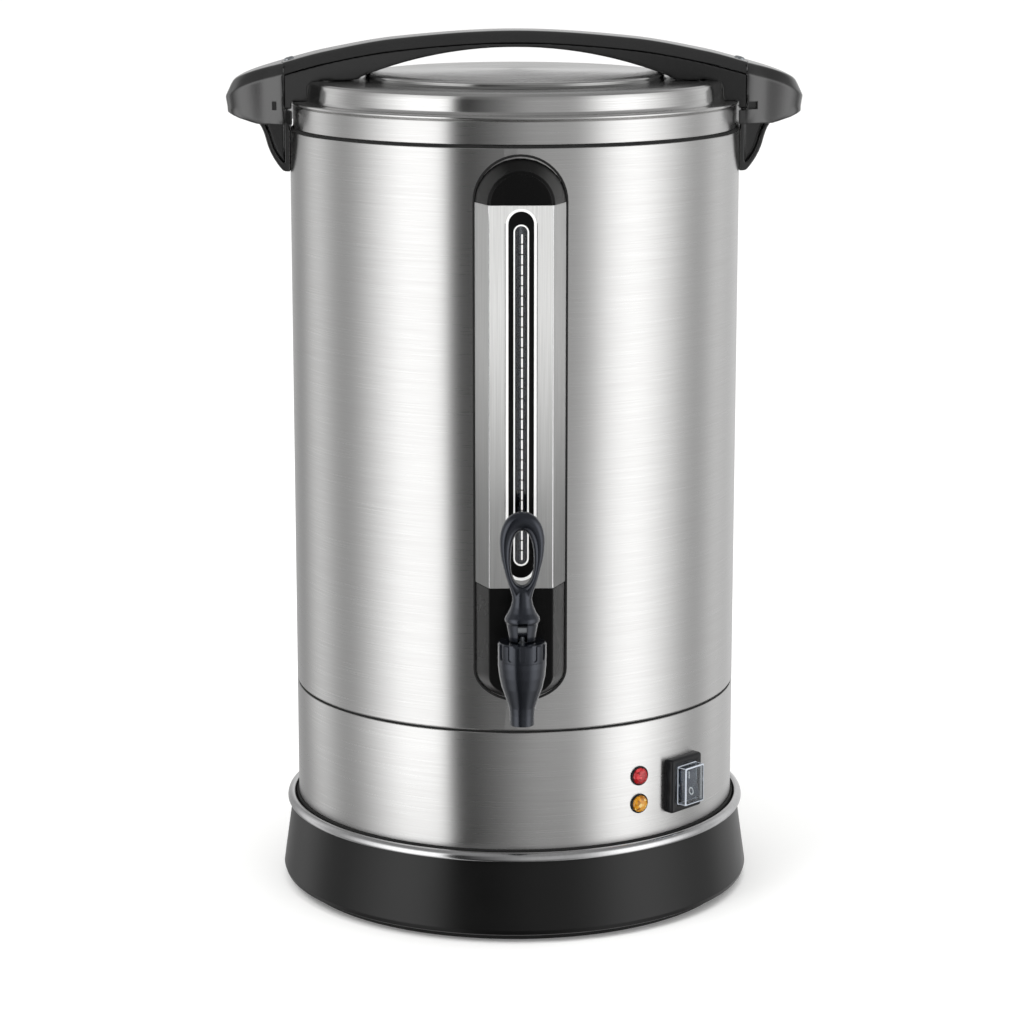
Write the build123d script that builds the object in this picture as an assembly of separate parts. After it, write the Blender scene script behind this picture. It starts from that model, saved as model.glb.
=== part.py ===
from build123d import *
from math import cos, hypot, radians, sin, sqrt
import os

# Coffee urn for about a hundred cups: a single-wall steel tank on a base band, with a sight gauge and a
# lever tap at the front (-Y), a twist-lock lid with an arched grip between two fixed side handles, and a
# percolator set standing in the pump well. Millimetres, +Z up, origin on the tank's axis at the floor.

# Heights of the main joints of the body
foot_h = 4.0
skirt_top_z = 46.0
seam_z = 119.0
floor_z = 122.0
well_z = 109.0
rim_z = 438.0
seat_z = 452.8

# Body radii and sheet thicknesses
body_r = 127.0
wall = 0.8
tank_r = body_r - wall
skirt_top_r = 130.7
skirt_foot_r = 136.2
skirt_wall = 3.0
plate_t = 1.5
plate_rise = 5.0
rim_r = 125.2
mouth_r = 114.0
trim_r = 133.6

# Lid
flange_r = 126.3
flange_z = 454.5
lid_wall_r = 117.9
shoulder_r = 109.0
shoulder_z = 466.2
dome_r = 84.0
dome_z = 471.0
plug_r = 110.0
plug_z = 446.0

# Grip arch and side handles. Heights of the grip line are given over the rim joint.
grip_end_r = 131.0
turning_gap = 0.4
handle_ledge_z = 449.7
handle_tip_x = 163.0
cap_depth = 6.5
cap_overhang = 1.0
grip_line = [(0, 54.9), (66.7, 50.7), (107.4, 43.6), (131, 37.4), (148.1, 32.4), (158, 27.8)]
grip_widths = [(0, 16), (66.7, 17.6), (100, 20.5), (119, 22.5), (134, 24)]
arch_under_z = 46.0
arch_under_r = 237.6
handle_screw_drops = (6.5, 15.5)

# Sight gauge and tap plate
gauge_front_y = -142.0
gauge_back_y = -124.8
gauge_half_w = 24.5
front_half_w = 17.2
cover_low_z = 203.4
cover_high_z = 409.5
plate_straight_z = 154.4
plate_drop = 17.0
plate_front_drop = 10.9
tube_y = -134.6
tube_r = 3.2
window_w = 16.5
window_low_z = 207.7
window_high_z = 408.0
scale_w = 13.6
scale_slot_w = 8.2

# Tap
tap_y = -165.0
spout_z = 134.2
seat_in_tap_z = 156.0
shank_z = 162.0
shank_r = 7.0
barrel_top_z = 170.0
bonnet_top_z = 180.0
pivot_z = 186.5
stem_r = 2.5
pin_r = 1.5
running = 0.05

# Controls on the base band
switch_angle = 46.0
switch_z = 78.6
switch_front_r = 134.5
rocker_pivot_r = 131.0
rocker_rest_tilt = 10.0
lamp_angle = 31.7
lamp_heights = {"heating_lens": 88.0, "warm_lens": 72.0}
inlet_z = 80.0
inlet_face_r = 130.5

# Percolator set
tube_out_r = 5.0
basket_r = 85.0
basket_low_z = 300.0
basket_high_z = 405.0


def turned(*profile):
    # a solid of revolution about Z, from (radius, height) points
    outline = Polyline(*[(r, 0, z) for r, z in profile], close=True)
    return revolve(make_face(outline), Axis.Z)


def sheet(points, thickness):
    # the outline of a sheet whose outer side follows the points and whose thickness lies on their right
    normals = []
    for (r0, z0), (r1, z1) in zip(points, points[1:]):
        run = hypot(r1 - r0, z1 - z0)
        normals.append(((z1 - z0) / run, (r0 - r1) / run))
    before = [normals[0]] + normals
    after = normals + [normals[-1]]
    inner = []
    for (r, z), a, b in zip(points, before, after):
        share = thickness / (1 + a[0] * b[0] + a[1] * b[1])
        inner.append((r + (a[0] + b[0]) * share if r else 0, z + (a[1] + b[1]) * share))
    return list(points) + inner[::-1]


def ring(r_out, r_in, z0, z1):
    return turned((r_in, z0), (r_out, z0), (r_out, z1), (r_in, z1))


def disc(r, z0, z1):
    return Pos(0, 0, z0) * Cylinder(r, z1 - z0, align=(Align.CENTER, Align.CENTER, Align.MIN))


def facing(angle, z, r=0):
    # looking in from outside at an angle from the front: X to the right, Y up, Z out of the body
    a = radians(angle)
    return Plane(origin=(r * sin(a), -r * cos(a), z), x_dir=(cos(a), sin(a), 0), z_dir=(sin(a), -cos(a), 0))


def rod(plane, r, low, high):
    # a round bar along the plane's own Z
    return plane * Pos(0, 0, low) * Cylinder(r, high - low, align=(Align.CENTER, Align.CENTER, Align.MIN))


def block(plane, w, h, low, high):
    return plane * Pos(0, 0, low) * Box(w, h, high - low, align=(Align.CENTER, Align.CENTER, Align.MIN))


def box_between(low, high):
    size = [b - a for a, b in zip(low, high)]
    return Pos(*low) * Box(*size, align=(Align.MIN, Align.MIN, Align.MIN))


def side_cut(edges, half_y):
    # an outline in the X-Z plane, carried half_y both ways along Y
    return extrude(make_face(edges), half_y, dir=(0, 1, 0), both=True)


def stadium(w, z0, z1, y0, y1):
    # an upright round-ended plate facing the front
    h = z1 - z0
    plane = Plane(origin=(0, y0, (z0 + z1) / 2), x_dir=(1, 0, 0), z_dir=(0, -1, 0))
    return extrude(plane * SlotOverall(h, w, rotation=90), abs(y1 - y0))


core = disc(body_r, 0, 520)
shank_line = facing(0, shank_z)


# ---- steel body ----

def handle_screw_lines():
    return [facing(a, rim_z - drop) for a in (90, 270) for drop in handle_screw_drops]


def tank_shell():
    outer = [(body_r - 0.6, seam_z + 0.6), (body_r, seam_z + 1.4), (body_r, rim_z - 1.2),
             (body_r - 1.2, rim_z), (body_r - 4, rim_z)]
    shell = turned(*sheet(outer, -wall)) - rod(shank_line, shank_r + 0.3, 110, 130)
    for line in handle_screw_lines():
        shell -= rod(line, 2.1, 120, 130)
    return shell


def tank_floor():
    under = [(0, well_z), (22, well_z), (24, well_z + 2), (24, floor_z - 2.5), (27, floor_z),
             (tank_r - 1.6, floor_z), (tank_r, floor_z + 1.6), (tank_r, floor_z + 11)]
    return turned(*sheet(under, -1.0))


def rim_ring():
    bead = [(rim_r - 0.6, rim_z), (rim_r - 0.6, rim_z + 1.4), (rim_r + 0.8, rim_z + 1.8),
            (rim_r + 1, rim_z + 2.6), (rim_r + 0.8, rim_z + 3.4), (rim_r, rim_z + 3.8)]
    outer = bead + [(rim_r, seat_z - 1.2), (rim_r - 1.2, seat_z), (mouth_r, seat_z), (mouth_r, seat_z - 8)]
    return turned(*sheet(outer, -wall))


def seam_ring():
    return ring(tank_r - 0.7, tank_r - 1.9, seam_z - 11, floor_z - 0.5)


def base_band():
    outer = [(body_r - 11, skirt_top_z), (body_r, skirt_top_z), (body_r, seam_z - 1.4),
             (body_r - 0.6, seam_z - 0.6)]
    band = turned(*sheet(outer, -wall))
    for z in lamp_heights.values():
        band -= rod(facing(lamp_angle, z), 5.1, 115, 130)
    band -= block(facing(switch_angle, switch_z), 22.2, 28.2, 115, 130)
    band -= block(facing(180, inlet_z), 28.6, 21.0, 115, 130)
    for x in (-19, 19):
        band -= rod(facing(180, inlet_z) * Pos(x, 0, 0), 1.65, 115, 130)
    for line in skirt_screw_lines():
        band -= rod(line, 2.05, skirt_top_z - 1, skirt_top_z + 2)
    return band


def trim_ring():
    top = skirt_top_z + 5.2
    bead = [(trim_r - 1, skirt_top_z), (trim_r, skirt_top_z + 1.2), (trim_r, top - 1.8),
            (trim_r - 1, top - 0.4), (trim_r - 2.6, top), (trim_r - 4.4, top - 0.8), (trim_r - 5.2, top - 2.4)]
    inner = body_r + 0.1
    return turned((inner, skirt_top_z), *bead, (trim_r - 5.2, skirt_top_z + 1), (inner, skirt_top_z + 1))


# ---- base ----

def round_z(r, angles):
    return [Plane.XY * Pos(r * cos(radians(a)), r * sin(radians(a)), 0) for a in angles]


def skirt_screw_lines():
    return round_z(119.5, (20, 110, 200, 290))


def plate_screw_lines():
    return round_z(112, (45, 135, 225, 315))


def base_skirt():
    outer = [(112, skirt_top_z), (skirt_top_r, skirt_top_z), (skirt_foot_r, 7.5), (skirt_foot_r - 0.8, 5),
             (skirt_foot_r - 2.6, foot_h), (108, foot_h)]
    skirt = turned(*sheet(outer, skirt_wall))
    for line in plate_screw_lines():
        skirt += rod(line, 5, foot_h + 1, foot_h + 9)
        skirt -= rod(line, 1.98, 0, foot_h + 12)
    for line in skirt_screw_lines():
        skirt -= rod(line, 2.1, skirt_top_z - 5, skirt_top_z + 1)
    return skirt


def foot_ring():
    return ring(128, 118, 0, foot_h)


def base_plate():
    # a pressed plate, raised in the middle so that it stays clear of the worktop
    low = foot_h - plate_t
    under = [(0, low + plate_rise), (98, low + plate_rise), (103, low), (116.5, low)]
    plate = turned(*sheet(under, -plate_t))
    for line in plate_screw_lines():
        plate -= rod(line, 2.1, 0, foot_h + 1)
    return plate


def pan_screw(line, head_r, shank_r, head, seat, tip):
    spans = [(head_r, head, seat), (shank_r, seat, tip)]
    made = [rod(line, r, min(a, b), max(a, b)) for r, a, b in spans]
    return made[0] + made[1]


def base_screws():
    # four up into the skirt's bosses hold the base plate, four through its inner lip hold the base band
    plate, lip = foot_h - plate_t, skirt_top_z - skirt_wall
    screws = [pan_screw(line, 3.5, 1.95, plate - 1.9, plate, foot_h + 7) for line in plate_screw_lines()]
    return screws + [pan_screw(line, 3.5, 2, lip - 2.2, lip, skirt_top_z + 5) for line in skirt_screw_lines()]


# ---- power and heat, under the tank ----

def inlet_pin_blocks():
    back = facing(180, inlet_z)
    return [block(back * Pos(x, z, 0), 2, 4, 98, inlet_face_r - 3) for x, z in ((-7, 2), (7, 2), (0, -2.5))]


def power_inlet():
    back = facing(180, inlet_z)
    inlet = block(back, 46, 26, 118, inlet_face_r) - core
    inlet += block(back, 28, 20.4, 104, inlet_face_r - 1)
    mouth = block(back, 24.4, 16.4, inlet_face_r - 17, inlet_face_r + 1)
    corners = [e for e in mouth.edges() if abs(e.tangent_at(0).Y) > 0.9 and e.center().Z > inlet_z]
    inlet -= chamfer(corners, 4)
    for x in (-19, 19):
        inlet -= rod(back * Pos(x, 0, 0), 1.65, 115, 135)
    for pin in inlet_pin_blocks():
        inlet -= pin
    return inlet


def inlet_pins():
    return inlet_pin_blocks()


def inlet_screws():
    back = facing(180, inlet_z)
    return [pan_screw(back * Pos(x, 0, 0), 3, 1.6, inlet_face_r + 1.8, inlet_face_r, 119) for x in (-19, 19)]


def well_heater():
    heater = ring(40, 24.2, floor_z - 16, floor_z - 2.7)
    for y in (-7, 7):
        heater += box_between((39, y - 3, floor_z - 12), (50, y + 3, floor_z - 11.2))
    return heater


def warming_element():
    return Pos(0, 0, floor_z - 4.1) * Torus(58, 4)


def thermostats():
    # the brewing thermostat and, on the other side, the one-shot cut-off, both flat against the tank floor
    control = Pos(82, 20, 0) * disc(8.5, floor_z - 9, floor_z)
    for x in (79, 85):
        control += box_between((x - 2, 13, floor_z - 18), (x + 2, 13.8, floor_z - 8.5))
    cutoff = Pos(-80, 24, 0) * disc(5, floor_z - 6, floor_z)
    cutoff += box_between((-88, 22.5, floor_z - 3.4), (-72, 25.5, floor_z - 2.6))
    return [control, cutoff]


def terminal_block():
    low = foot_h + plate_rise
    body = box_between((-18, 70, low), (18, 88, low + 16))
    for x in (-12, 0, 12):
        body -= Pos(x, 79, low + 16) * Cylinder(3, 12)
    return body


lead_r = 1.2
lead_routes = [
    [(-7, 98, 82), (-7, 84, 82), (-12, 84, 50), (-12, 79, 50), (-12, 79, 19.5)],
    [(7, 98, 82), (7, 84, 82), (12, 84, 50), (12, 79, 50), (12, 79, 19.5)],
]


def internal_leads():
    # from the inlet's tails down into the terminal block
    leads = []
    for route in lead_routes:
        path = FilletPolyline(*route, radius=2.0)
        start = Plane(origin=path @ 0, z_dir=path % 0)
        leads.append(sweep(start * Circle(lead_r), path=path))
    return leads


# ---- side handles ----

def grip_z(x):
    # height of the grip's top line at a distance from the middle, along straight spans
    for (x0, z0), (x1, z1) in zip(grip_line, grip_line[1:]):
        if x <= x1:
            return rim_z + z0 + (z1 - z0) * (x - x0) / (x1 - x0)


def grip_top(drop):
    # the smooth top line of arch and handles, lowered by drop
    half = [(x, rim_z + z - drop) for x, z in grip_line]
    points = [(-x, 0, z) for x, z in half[:0:-1]] + [(x, 0, z) for x, z in half]
    return Spline(*points)


def grip_solid(top_drop, bottom):
    # everything from side to side that lies under the lowered top line and above the bottom height
    top = grip_top(top_drop)
    left, right = top @ 0, top @ 1
    low_left, low_right = (left.X, 0, bottom), (right.X, 0, bottom)
    return side_cut([top, Line(left, low_left), Line(low_left, low_right), Line(low_right, right)], 40)


def arch_plan(inset):
    half = [(x, w - inset) for x, w in grip_widths]
    points = [(-x, w) for x, w in half[:0:-1]] + half
    back = Spline(*[(x, w, 0) for x, w in points])
    front_edge = Spline(*[(x, -w, 0) for x, w in points])
    ends = [Line(back @ 0, front_edge @ 0), Line(back @ 1, front_edge @ 1)]
    return Pos(0, 0, rim_z) * extrude(make_face([back, front_edge] + ends), 80)


def handle_plan(inset):
    # the handle's outline from above: it flares where it meets the body and ends in a round nose
    tip = handle_tip_x - inset
    upper = Spline((120, 27 - inset, 0), (134, 23.8 - inset, 0), (141, 20 - inset, 0), (154, 15.4 - inset, 0),
                   (tip, 0, 0), tangents=[(1, -0.2, 0), (0, -1, 0)])
    lower = mirror(upper, Plane.XZ)
    return Pos(0, 0, rim_z - 40) * extrude(make_face([upper, lower, Line(upper @ 0, lower @ 0)]), 120)


def handle_hood():
    ledge = handle_ledge_z
    low = Polyline((120, 0, ledge), (120, 0, rim_z + 3.6), (144.4, 0, rim_z + 3.6), (154.7, 0, rim_z + 6.6),
                   (161.8, 0, rim_z + 9.6), (170, 0, rim_z + 16), (170, 0, rim_z + 60), (120, 0, rim_z + 60),
                   close=True)
    under = side_cut(low, 40)
    cap = handle_plan(0) & under & (grip_solid_out(0) - grip_solid_out(cap_depth))
    body = handle_plan(cap_overhang) & under & grip_solid_out(cap_depth)
    return cap + body


def grip_solid_out(drop):
    # as grip_solid, but carried on straight past the nose
    slope = (grip_line[-1][1] - grip_line[-2][1]) / (grip_line[-1][0] - grip_line[-2][0])
    far = 170
    half = [(x, rim_z + z - drop) for x, z in grip_line[2:]]
    half.append((far, half[-1][1] + slope * 1.6 * (far - half[-1][0])))
    top = Spline(*[(x, 0, z) for x, z in half])
    floor = rim_z - 40
    start, end = top @ 0, top @ 1
    edges = [top, Line(start, (start.X, 0, floor)), Line((start.X, 0, floor), (end.X, 0, floor)),
             Line((end.X, 0, floor), end)]
    return side_cut(edges, 40)


def bracket():
    # the web under the handle, with a raised edge all round each face
    def fin(points, back_x, half_y):
        curve = Spline(*[(x, 0, rim_z + z) for x, z in points])
        foot, top = (back_x, 0, rim_z + points[-1][1] - 0.6), (back_x, 0, rim_z + points[0][1])
        return side_cut([curve, Line(curve @ 1, foot), Line(foot, top), Line(top, curve @ 0)], half_y)
    whole = fin([(144.2, 3.8), (140.9, -3), (139.2, -9), (135.8, -16.4), (130.6, -23.4)], 124, 11)
    pocket = fin([(141.6, 3.8), (138.4, -3), (136.6, -9), (133.6, -15), (130.6, -18.6)], body_r + 2.6, 12)
    web = box_between((120, -5.5, rim_z - 40), (150, 5.5, rim_z + 10))
    return whole - (pocket - web)


def side_handle_right():
    handle = handle_hood() + bracket()
    near, far = 146.6, 158.4
    depth = [(near, 0), (far, 0), (far, 21), (152, 25), (near, 27)]
    hollow = side_cut(Polyline(*[(x, 0, rim_z + z) for x, z in depth], close=True), 40)
    half = [(140, 15), (near, 14), (153, 11.5), (far, 7)]
    inside = Polyline(*half, *[(x, -y) for x, y in half[::-1]], close=True)
    hollow &= Pos(0, 0, rim_z - 10) * extrude(make_face(inside), 60)
    handle -= hollow
    handle -= core
    handle -= disc(grip_end_r + turning_gap, handle_ledge_z, 520)
    # the slot that the lid's locking tongue enters from the front
    handle -= box_between((grip_end_r, -30, rim_z + 11.9), (grip_end_r + 4.4, -17, rim_z + 16.2))
    for line in handle_screw_lines()[:2]:
        handle -= rod(line, 3.0, 120, body_r + 6)
        handle -= rod(line, 2.03, 120, body_r + 7.4)
    return handle


def side_handle_left():
    return Rot(0, 0, 180) * side_handle_right()


def handle_inserts():
    lines = handle_screw_lines()
    return [rod(line, 3.0, body_r + 0.5, body_r + 6) - rod(line, 2.03, 120, 150) for line in lines]


def handle_screws():
    return [pan_screw(line, 3.6, 2.0, 123.8, tank_r - 0.06, body_r + 7) for line in handle_screw_lines()]


# ---- sight gauge and tap plate ----

def channel(inset, z0, z1):
    # the gauge's five-sided section between two heights, open towards the body
    b, f, y = gauge_half_w - inset, front_half_w - inset * 0.7, gauge_front_y + inset
    half = [(b, -118), (b, gauge_back_y), (f, y)]
    section = Polyline(*half, *[(-x, y) for x, y in half[::-1]], close=True)
    return Pos(0, 0, z0) * extrude(make_face(section), z1 - z0)


def gauge_cover():
    cover = channel(0, cover_low_z, cover_high_z) - channel(wall, cover_low_z - 1, cover_high_z + 1) - core
    return cover - stadium(window_w, window_low_z, window_high_z, -130, -150)


def gauge_top_cap():
    def half_cone(inset):
        hub = facing(0, cover_high_z)
        outer, inner = gauge_half_w - inset, front_half_w - inset * 0.7
        depth = gauge_back_y - gauge_front_y - inset
        cone = hub * Pos(0, 0, -gauge_back_y + depth / 2) * Cone(outer, inner, depth)
        return cone + rod(hub, outer, 118, -gauge_back_y)
    cap = half_cone(0) - half_cone(2.0)
    hub = facing(0, cover_high_z)
    cap += rod(hub, 7.5, -tube_y - 7, -gauge_front_y - 1)
    step = rod(hub, front_half_w + 1.6, -gauge_front_y - 1.4, 150) - rod(hub, front_half_w - 0.8, 100, 150)
    cap -= step
    cap -= box_between((-40, -160, cover_high_z - 40), (40, -110, cover_high_z))
    cap -= core
    return cap - Pos(0, tube_y, 0) * disc(6.5, 400, cover_high_z + 5.5)


def plate_solid(inset):
    def outline(half_w, drop, y):
        top = cover_low_z
        z = plate_straight_z
        bottom = EllipticalCenterArc((0, 0), half_w, drop, start_angle=180, arc_size=180)
        placed = Plane(origin=(0, y, z), x_dir=(1, 0, 0), z_dir=(0, -1, 0)) * bottom
        left, right = (-half_w, y, z), (half_w, y, z)
        edges = [placed, Line(right, (half_w, y, top)), Line((half_w, y, top), (-half_w, y, top)),
                 Line((-half_w, y, top), left)]
        return make_face(edges)
    back = outline(gauge_half_w - inset, plate_drop - inset, gauge_back_y)
    face = outline(front_half_w - inset * 0.7, plate_front_drop - inset * 0.7, gauge_front_y + inset)
    return loft([back, face], ruled=True) + extrude(back, 7, dir=(0, 1, 0))


def tap_escutcheon():
    plate = plate_solid(0) - core - rod(shank_line, shank_r + 0.2, 130, 150)
    hollow = plate_solid(2.0) & box_between((-40, -150, 100), (40, -100, cover_low_z - 2))
    return plate - hollow - Pos(0, tube_y, 0) * disc(tube_r + 0.1, 190, 210)


def gauge_frame():
    outer = stadium(window_w - 0.1, window_low_z + 0.05, window_high_z - 0.05, gauge_front_y + wall, -142.5)
    outer -= stadium(scale_w, window_low_z + 1.5, window_high_z - 1.5, -130, -150)
    inner = stadium(scale_slot_w, 215.8, 399.6, gauge_front_y + 0.7, -142.3)
    inner -= stadium(scale_slot_w - 1.6, 216.6, 398.8, -130, -150)
    return [outer, inner]


def gauge_scale():
    back = gauge_front_y + wall
    scale = stadium(scale_w - 0.1, window_low_z + 1.55, window_high_z - 1.55, back, -142.1)
    scale += box_between((-14, back, 205), (14, back + 1, 408.5))
    return scale - stadium(scale_slot_w + 0.1, 215.75, 399.65, -130, -150)


def gauge_backing():
    return box_between((-11, -129.4, 203.6), (11, -128.2, 407.5))


def sight_tube():
    tube = disc(tube_r, 190, 413) - disc(tube_r - 1, 180, 420)
    return Pos(0, tube_y, 0) * tube


def gauge_bushings():
    seat = Pos(0, tube_y, 0)
    top = cover_high_z + 0.1
    return [seat * ring(6.4, tube_r, top, top + 3.3), seat * ring(4.5, tube_r, 191, 197)]


def gauge_elbow():
    elbow = box_between((-9, -139.6, 150), (9, -129.6, 197)) - rod(shank_line, shank_r + 0.05, 110, 150)
    bore = disc(4.5, 190, 200) + disc(2.2, shank_z, 195)
    return elbow - Pos(0, tube_y, 0) * bore


# ---- tap ----

def at_tap(part):
    return Pos(0, tap_y, 0) * part


def tap_body():
    outer = [(0, spout_z), (6.55, spout_z), (6.75, 140), (7.2, 144), (8.9, 149), (11.0, 155), (12.4, 161.5),
             (12.95, 167), (12.95, barrel_top_z), (0, barrel_top_z)]
    body = at_tap(turned(*outer))
    body += rod(shank_line, 7.9, -tap_y - 21.2, -tap_y - 8)
    body += rod(shank_line, shank_r, 110, -tap_y - 8)
    body -= at_tap(disc(8.4, seat_in_tap_z, 200))
    body -= at_tap(disc(4.4, 100, 200))
    body -= at_tap(turned((0, 130), (5.3, 130), (5.3, 149), (4.4, 151), (0, 151)))
    return body - rod(shank_line, 4.3, 100, -tap_y)


def tap_bonnet():
    bore, top = stem_r + 0.08, bonnet_top_z
    bonnet = turned((8.0, barrel_top_z), (13.05, barrel_top_z), (13.05, top - 0.9), (12.2, top), (bore, top),
                    (bore, top - 3.5), (8.0, top - 3.5))
    flute = Pos(13.4, 0, barrel_top_z + 5.6) * Box(1.6, 1.1, 7.6)
    for i in range(12):
        bonnet -= Rot(0, 0, 30 * i + 15) * flute
    return at_tap(bonnet)


def tap_gaskets():
    # one under the tap's collar, one each side of the tank wall
    bore = rod(shank_line, shank_r + 0.05, 100, 160)
    outer = rod(shank_line, 9.5, -gauge_front_y, -tap_y - 21.2) - bore
    middle = rod(shank_line, 11, 124, 129.6) - bore - core
    inner = (rod(shank_line, 11, 122.6, 130) - bore) & disc(tank_r, 100, 200)
    return [outer, middle, inner]


def tap_nut():
    line = shank_line * Pos(0, 0, 116.6)
    nut = line * extrude(RegularPolygon(12.5, 6), 6.0)
    return nut - rod(shank_line, shank_r + 0.03, 100, 160)


def valve_stem():
    stem = disc(stem_r, seat_in_tap_z + 2, pivot_z) + Pos(0, 0, pivot_z) * Rot(0, 90, 0) * Cylinder(4.4, 5)
    stem += box_between((-2.5, -2.5, pivot_z - 6), (2.5, 2.5, pivot_z)) & disc(stem_r, 100, 200)
    return at_tap(stem - Pos(0, 0, pivot_z) * Rot(0, 90, 0) * Cylinder(pin_r + running, 20))


def seat_cup():
    z = seat_in_tap_z
    return at_tap(turned((0, z), (5.9, z), (6.6, z + 0.8), (6.2, z + 3.5), (stem_r, z + 3.5), (stem_r, z + 2),
                         (0, z + 2)))


def valve_spring():
    low, high, wire = seat_in_tap_z + 4.1, bonnet_top_z - 4.1, 0.45
    path = Helix(pitch=(high - low) / 4.5, height=high - low, radius=4.6)
    start = Plane(origin=path @ 0, z_dir=path % 0)
    return at_tap(Pos(0, 0, low) * sweep(start * Circle(wire), path=path, is_frenet=True))


def loop_outline(points, half_y):
    half = Spline(*[(x, 0, z) for x, z in points], tangents=[(1, 0, 0), (-0.25, 0, -1)])
    other = mirror(half, Plane.YZ)
    return side_cut([half, other, Line(half @ 1, other @ 1)], half_y)


def tap_lever():
    loop = loop_outline([(0, 249.3), (11.5, 234), (9.4, 218.5), (5.3, 204)], 4.2)
    hole = loop_outline([(0, 239.2), (5.4, 229), (3.6, 217.5), (1.4, 211.4)], 10)
    foot = bonnet_top_z + 0.2
    neck = turned((0, foot), (6.8, foot), (8.7, 190.6), (9.4, 191.6), (9.3, 193.2), (7.4, 196.2),
                  (5.9, 199.6), (5.2, 203), (4.8, 207), (0, 207))
    lever = loop - hole + (neck - hole)
    lever -= box_between((-2.6, -20, 150), (2.6, 20, pivot_z + 5.2))
    return at_tap(lever - Pos(0, 0, pivot_z) * Rot(0, 90, 0) * Cylinder(pin_r, 30))


def lever_pin():
    return at_tap(Pos(0, 0, pivot_z) * Rot(0, 90, 0) * Cylinder(pin_r, 15))


# ---- controls ----

def switch_housing():
    plane = facing(switch_angle, switch_z)
    bezel = block(plane, 25.6, 31, 120, switch_front_r)
    rim = [e for e in bezel.edges() if hypot(e.center().X, e.center().Y) > switch_front_r - 0.1]
    bezel = chamfer(rim, 3.0) - core
    housing = bezel + block(plane, 21.6, 27.6, 106, body_r + 0.4)
    housing -= block(plane, 13.6, 19.2, 123.6, 140)
    return housing - rocker_axle(0)


def rocker_axle(gap):
    line = facing(switch_angle, switch_z, rocker_pivot_r)
    return line * Rot(0, 90, 0) * Cylinder(1.25 + gap, 15.6)


def rocker_pin():
    return rocker_axle(0)


def switch_rocker():
    half = [(8.6, 5.2), (8.6, 1.2), (4.5, -5.4)]
    points = [(0, 4.0)] + half + [(-y, z) for y, z in half[::-1]]
    outline = Polyline(*[(0, y, z) for y, z in points], close=True)
    body = extrude(make_face(outline), 6.2, dir=(1, 0, 0), both=True)
    line = facing(switch_angle, switch_z, rocker_pivot_r)
    return line * Rot(-rocker_rest_tilt, 0, 0) * body - rocker_axle(running)


def splash_cover():
    plane = facing(switch_angle, switch_z)
    cover = block(plane, 15.6, 21.2, switch_front_r, switch_front_r + 6.5)
    corners = [e for e in cover.edges() if abs(e.center().Z - switch_z) > 10 or e.length < 7]
    cover = fillet(corners, 0.6)
    return cover - block(plane, 14.0, 19.6, switch_front_r - 1, switch_front_r + 5.7)


def switch_terminals():
    plane = facing(switch_angle, switch_z)
    return [block(plane * Pos(x, z, 0), 0.8, 6.3, 96, 106) for x in (-7, 7) for z in (-8, 8)]


def lamp_planes():
    return [facing(lamp_angle, z) for z in lamp_heights.values()]


def on_axis(plane, profile):
    # a solid turned about the plane's own Z
    return plane * turned(*profile)


def lamp_bezels():
    profile = [(4.75, body_r + 0.02), (6.1, body_r + 0.02), (6.1, body_r + 0.7), (5.4, body_r + 1.7),
               (4.75, body_r + 1.7)]
    return [on_axis(plane, profile) for plane in lamp_planes()]


def lamp_bodies():
    return [rod(plane, 5.0, 108, body_r) for plane in lamp_planes()]


def lamp_lens(name):
    r = body_r
    profile = [(0, r + 0.02), (4.7, r + 0.02), (4.7, r + 1.6), (4.1, r + 2.5), (2.6, r + 3.2), (0, r + 3.4)]
    return on_axis(facing(lamp_angle, lamp_heights[name]), profile)


# ---- percolator set ----

def perc_stem():
    stem = ring(tube_out_r, tube_out_r - 0.9, well_z + 3, 424)
    return stem + ring(7.5, tube_out_r - 0.5, basket_low_z - 4, basket_low_z)


def pump_foot():
    outer = [(20.6, well_z + 1.4), (19.6, well_z + 4.4), (9, well_z + 9), (tube_out_r + 1.2, well_z + 11),
             (tube_out_r + 1.2, well_z + 20)]
    foot = turned(*sheet(outer, -1.2))
    for i in range(4):
        foot -= Rot(0, 0, 90 * i) * Pos(20, 0, well_z + 1) * Box(6, 6, 3)
    return foot


def hole_ring(count, r, z):
    return [Rot(0, 0, 360 / count * i) * Pos(r, 0, z) * Cylinder(1.5, 6) for i in range(count)]


def coffee_basket():
    r, low, high, t = basket_r, basket_low_z, basket_high_z, 0.8
    sleeve = tube_out_r + 0.3
    outside = [(sleeve, low), (r - 2, low), (r, low + 2), (r, high - 1), (r + 1.6, high - 1), (r + 1.6, high)]
    inside = [(r - t, high), (r - t, low + 2.3), (r - 2.3, low + t), (sleeve + t, low + t),
              (sleeve + t, high - 4), (sleeve, high - 4)]
    basket = turned(*outside, *inside)
    for count, hole_r in ((8, 25), (14, 45), (20, 66)):
        for hole in hole_ring(count, hole_r, low):
            basket -= hole
    return basket


def basket_spreader():
    z, bore, edge = basket_high_z, tube_out_r + 0.3, basket_r + 1
    lid = turned((bore, z - 2.8), (60, z - 2.8), (66, z), (edge, z), (edge, z + 0.8), (65.7, z + 0.8),
                 (59.7, z - 2), (bore, z - 2))
    for count, hole_r in ((6, 15), (10, 30), (14, 45)):
        for hole in hole_ring(count, hole_r, z - 2.4):
            lid -= hole
    return lid


# ---- lid ----

lid_line = [(0, dome_z), (45, dome_z - 0.5), (dome_r - 3, dome_z - 1.6), (dome_r, dome_z - 2.2),
            (dome_r + 1.6, dome_z - 3.8), (93, shoulder_z - 0.2), (101, shoulder_z - 0.6),
            (shoulder_r - 1, shoulder_z + 0.1), (shoulder_r + 0.8, shoulder_z - 0.3), (116.4, 464),
            (117.3, 462.6), (lid_wall_r, 456), (lid_wall_r + 0.9, flange_z)]


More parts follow.
